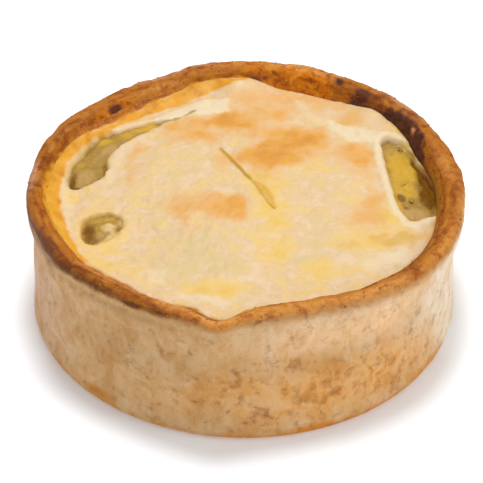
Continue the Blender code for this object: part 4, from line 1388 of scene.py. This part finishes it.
def lay_floor(settings):
    """The plain floor, which glows a little so that it stays pale."""
    plane = bmesh.new()
    bmesh.ops.create_grid(plane, x_segments=1, y_segments=1, size=FLOOR_SIZE)
    mesh = bpy.data.meshes.new("floor")
    plane.to_mesh(mesh)
    plane.free()
    material, _, shader, _ = new_material("matt_lit_white_board")
    shader.inputs["Base Color"].default_value = settings.floor
    shader.inputs["Emission Color"].default_value = WHITE
    shader.inputs["Emission Strength"].default_value = settings.floor_glow
    shader.inputs["Roughness"].default_value = 0.9
    mesh.materials.append(material)
    new_object("floor", mesh)


def light_stage(scene, settings):
    """An even sky, a soft light above and a fainter one at the right."""
    world = bpy.data.worlds.new("soft_sky")
    world.use_nodes = True
    background = world.node_tree.nodes["Background"]
    background.inputs["Color"].default_value = WHITE
    background.inputs["Strength"].default_value = settings.sky_strength
    scene.world = world
    scene.view_settings.view_transform = "Standard"
    for name, place, size, power in (
        ("key_light", KEY_PLACE, KEY_SIZE, settings.key_power),
        ("side_light", SIDE_PLACE, SIDE_SIZE, settings.side_power),
    ):
        light = bpy.data.lights.new(name, "AREA")
        light.energy = power
        light.shape = "DISK"
        light.size = size
        lamp = new_object(name, light)
        lamp.location = place
        lamp.rotation_euler = (-Vector(place)).to_track_quat("-Z", "Y").to_euler()


def set_camera(scene):
    """The camera, which looks down at the pie as the photo does."""
    camera = bpy.data.cameras.new("camera")
    camera.sensor_width = SENSOR_WIDTH
    camera.lens = SENSOR_WIDTH * FOCAL_PIXELS / PHOTO_WIDTH
    camera.shift_x = CAMERA_SHIFT[0] / PHOTO_WIDTH
    camera.shift_y = CAMERA_SHIFT[1] / PHOTO_WIDTH
    camera.clip_start = CAMERA_NEAREST
    holder = new_object("camera", camera)
    look_down = math.radians(CAMERA_ELEVATION)
    target = Vector((*PIE_AXIS, CAMERA_AIM_HEIGHT)) * MM
    holder.location = target + Vector((0.0, -math.cos(look_down), math.sin(look_down))) * CAMERA_DISTANCE
    holder.rotation_euler = (math.radians(90.0 - CAMERA_ELEVATION), 0.0, 0.0)
    scene.camera = holder


def colour_property(name, hex_code, description):
    """A colour that a user can change."""
    return bpy.props.FloatVectorProperty(
        name=name, description=description, default=colour_of(hex_code),
        subtype="COLOR", size=4, min=0.0, max=1.0,
    )


def length_property(name, millimetres, description):
    """A length that a user can change."""
    return bpy.props.FloatProperty(
        name=name, description=description, default=millimetres * MM,
        min=0.0, subtype="DISTANCE", unit="LENGTH", precision=5,
    )


def count_property(name, count, description, least=0, most=1000):
    """A whole number that a user can change."""
    return bpy.props.IntProperty(name=name, description=description, default=count, min=least, max=most)


def light_property(name, strength, description):
    """A strength of light that a user can change."""
    return bpy.props.FloatProperty(name=name, description=description, default=strength, min=0.0)


class OnionPieCrust(bpy.types.PropertyGroup):
    """Sizes and colours of the crust case."""

    steps: count_property("Steps", 720, "Steps round the case", 48, 800)
    crag_depth: length_property("Crag depth", 0.4, "Height of the crags on the browned rim")
    dent_depth: length_property("Dent depth", 0.11, "Depth of the dents in the wall")
    wall: colour_property("Wall", "#DEB480", "Baked wall")
    # Colour of paler dough and of the painted light on the wall
    wall_pale_and_lit: colour_property("Pale wall", "#F0DEC6", "Where the wall took least heat")
    wall_toasted: colour_property("Toasted wall", "#E8AC60", "Where the wall took most heat")
    crest: colour_property("Crest", "#B26C1C", "Browned rim")
    golden: colour_property("Golden slope", "#E3A026", "Greasy golden slope inside the rim")
    scorched: colour_property("Scorched base", "#D68A30", "Burnt spots at the base")
    char: colour_property("Char", "#4C2A1C", "Burnt stretch of the inner rim")


class OnionPieLid(bpy.types.PropertyGroup):
    """Sizes and colours of the lid."""

    steps: count_property("Steps", 600, "Steps round the lid", 48, 720)
    rings: count_property("Rings", 108, "Rings across the lid's top", 12, 120)
    crumple_depth: length_property("Crumple depth", 0.3, "Height of the lid's small creases")
    dough: colour_property("Dough", "#E2C293", "Pale baked dough")
    browned: colour_property("Browned", "#E4A64C", "Toasted patches")
    greasy: colour_property("Greasy", "#EBC66E", "Dough soaked with yellow fat")
    raw: colour_property("Raw", "#EAD6B2", "Torn or unbaked dough")
    golden: colour_property("Golden edge", "#E3A026", "Greasy golden edge along the rim")


class OnionPieFilling(bpy.types.PropertyGroup):
    """Sizes and colours of the onion filling."""

    steps: count_property("Steps", 600, "Steps round the filling", 48, 720)
    rings: count_property("Rings", 50, "Rings where the gaps are", 8, 80)
    sunk_by: length_property("Sunk by", 1.2, "How far the filling lies below the lid's top")
    shreds: count_property("Shreds", 2, "Onion shreds a square centimetre")
    olive: colour_property("Olive", "#AE8840", "Cooked onion")
    yellow: colour_property("Yellow", "#D2A636", "Onion soaked with yellow fat")
    # Colour of the painted shade in the hollows between the onion
    deep: colour_property("Deep", "#7C500A", "Dark hollows between the onion")


class OnionPieCrumbs(bpy.types.PropertyGroup):
    """Amounts of crumbs and flour."""

    crumbs: count_property("Crumbs", 9, "Crumbs a square centimetre of rim")
    flour: count_property("Flour", 2, "Flour grains a square centimetre of wall")
    seed: count_property("Seed", 3, "Seed of the random places")


class OnionPieStage(bpy.types.PropertyGroup):
    """Lights and floor of the stage."""

    key_power: light_property("Key light", 4.9, "Power of the light above")
    side_power: light_property("Side light", 2.25, "Power of the light at the right")
    sky_strength: light_property("Sky", 0.45, "Strength of the even light")
    floor: colour_property("Floor", "#F4F8FD", "Plain pale floor")
    floor_glow: light_property("Floor glow", 0.16, "Light that shines up through the floor")


class ONIONPIE_OT_crust_case(bpy.types.Operator):
    """Build the crust case: base, wall and browned rim"""

    bl_idname = "onion_pie.crust_case"
    bl_label = "Crust case"

    def execute(self, context):
        settings = context.scene.onion_pie_crust
        mesh = turned_mesh("case", case_profile(), settings.steps, baked_crust_material(settings))
        points = positions(mesh)
        case_masks(mesh, points)
        baked = points + outward_normals(mesh) * case_relief(points, settings)[:, None]
        baked[:, 2] = np.where(points[:, 2] < 0.05, 0.0, np.maximum(baked[:, 2], 0.0))
        place_vertices(mesh, settled(baked))
        finish_piece("baked_crust_case", mesh, "crust", "crust_case")
        return {"FINISHED"}


class ONIONPIE_OT_lid(bpy.types.Operator):
    """Build the lid with its torn gaps, its slit and its browned patches"""

    bl_idname = "onion_pie.lid"
    bl_label = "Lid"

    def execute(self, context):
        settings = context.scene.onion_pie_lid
        mesh = turned_mesh("lid", lid_profile(settings.rings), settings.steps, lid_pastry_material(settings))
        points = positions(mesh)
        radius, angle = polar(points)
        towards_top = np.clip((points[:, 2] - lid_top(radius)) / LID_THICKNESS + 1.0, 0.0, 1.0)
        filled = stretch(GOLD_STRETCH, angle) * (towards_top > 0.8)
        points[:, 2] += filled * (lid_top(radius) - points[:, 2])
        reach = lid_reach(angle, towards_top) * smooth_rise(LID_REACH_FROM, LID_RADIUS, radius)
        points[:, :2] *= (1.0 + reach / np.maximum(radius, 1.0))[:, None]
        points[:, 2] += lid_relief(points, nearest_gap(points), settings) * np.maximum(towards_top, filled)
        place_vertices(mesh, points)
        mesh = cut_by(mesh, [gap_cutter(name, outline) for name, outline in GAP_OUTLINES.items()])
        points = positions(mesh)
        lid_masks(mesh, points, nearest_gap(points))
        place_vertices(mesh, settled(points))
        finish_piece("baked_lid", mesh, "lid_pastry", "lid")
        return {"FINISHED"}


class ONIONPIE_OT_filling(bpy.types.Operator):
    """Build the onion filling, which shows in the lid's gaps, and the shreds that lie on it"""

    bl_idname = "onion_pie.filling"
    bl_label = "Filling"

    def execute(self, context):
        settings = context.scene.onion_pie_filling
        material = onion_filling_material(settings)
        mesh = turned_mesh("filling", filling_profile(settings.rings), settings.steps, material)
        points = positions(mesh)
        radius, _ = polar(points)
        gap = nearest_gap(points)
        on_top = points[:, 2] > lid_top(radius) - LID_THICKNESS - FIT_GAP - 0.1
        raised = smooth_rise(1.0, 0.6, gap) * on_top
        baked = points.copy()
        baked[:, 2] += raised * (filling_surface(points, settings) - points[:, 2])
        reach = case_inner_radius(baked[:, 2]) + LID_OVERLAP - FILLING_RADIUS
        reach *= smooth_rise(40.0, FILLING_RADIUS, radius) * raised
        baked[:, :2] *= (1.0 + reach / np.maximum(radius, 1.0))[:, None]
        filling_masks(mesh, baked, gap)
        place_vertices(mesh, settled(baked))
        shreds = scattered(
            "onion_shreds", mesh, "open", shred_shape,
            settings.shreds, SHRED_LENGTHS, SHRED_FLATNESS, SHREDS_SEED, material,
        )
        finish_piece("onion_filling", mesh, "onion_filling", "filling")
        finish_piece("onion_shreds", shreds, "onion_filling")
        return {"FINISHED"}


class ONIONPIE_OT_crumbs(bpy.types.Operator):
    """Scatter crumbs on the rim and grains of flour on the wall"""

    bl_idname = "onion_pie.crumbs"
    bl_label = "Crumbs and flour"

    def execute(self, context):
        settings = context.scene.onion_pie_crumbs
        case = bpy.data.objects["baked_crust_case"].data
        for name, mask_name, amount, sizes, flatness, darker, lighter in (
            ("rim_crumbs", "crumby", settings.crumbs, CRUMB_SIZES, CRUMB_FLATNESS, "#8E5020", "#C8893E"),
            ("wall_flour", "floury", settings.flour, FLOUR_SIZES, FLOUR_FLATNESS, "#F0DEC4", "#DDBE96"),
        ):
            mesh = scattered(
                name, case, mask_name, crumb_shape,
                amount, sizes, flatness, settings.seed, crumb_material(name, darker, lighter),
            )
            finish_piece(name, mesh, "crust")
        return {"FINISHED"}


class ONIONPIE_OT_stage(bpy.types.Operator):
    """Set up the pale floor, the soft lights and the camera"""

    bl_idname = "onion_pie.stage"
    bl_label = "Stage"

    def execute(self, context):
        settings = context.scene.onion_pie_stage
        lay_floor(settings)
        light_stage(context.scene, settings)
        set_camera(context.scene)
        return {"FINISHED"}


class ONIONPIE_PT_panel(bpy.types.Panel):
    """Settings and build steps of the onion pie"""

    bl_idname = "ONIONPIE_PT_panel"
    bl_label = "Onion Pie"
    bl_space_type = "VIEW_3D"
    bl_region_type = "UI"
    bl_category = "Onion Pie"

    def draw(self, context):
        for operator, group_name, _ in STEPS:
            box = self.layout.box()
            group = getattr(context.scene, group_name)
            for name in type(group).__annotations__:
                box.prop(group, name)
            box.operator(operator.bl_idname)


# The build steps in order: each one's operator, and the name and class of its settings
STEPS = [
    (ONIONPIE_OT_crust_case, "onion_pie_crust", OnionPieCrust),
    (ONIONPIE_OT_lid, "onion_pie_lid", OnionPieLid),
    (ONIONPIE_OT_filling, "onion_pie_filling", OnionPieFilling),
    (ONIONPIE_OT_crumbs, "onion_pie_crumbs", OnionPieCrumbs),
    (ONIONPIE_OT_stage, "onion_pie_stage", OnionPieStage),
]


def register():
    """Make the settings, operators and panel known to Blender."""
    for operator, name, group in STEPS:
        bpy.utils.register_class(group)
        setattr(bpy.types.Scene, name, bpy.props.PointerProperty(type=group))
        bpy.utils.register_class(operator)
    bpy.utils.register_class(ONIONPIE_PT_panel)


def unregister():
    """Take them all away again."""
    bpy.utils.unregister_class(ONIONPIE_PT_panel)
    for operator, name, group in reversed(STEPS):
        bpy.utils.unregister_class(operator)
        delattr(bpy.types.Scene, name)
        bpy.utils.unregister_class(group)


def main():
    """Build the pie and its stage."""
    register()
    bpy.ops.onion_pie.crust_case()
    bpy.ops.onion_pie.lid()
    bpy.ops.onion_pie.filling()
    bpy.ops.onion_pie.crumbs()
    bpy.ops.onion_pie.stage()


if __name__ == "__main__":
    main()
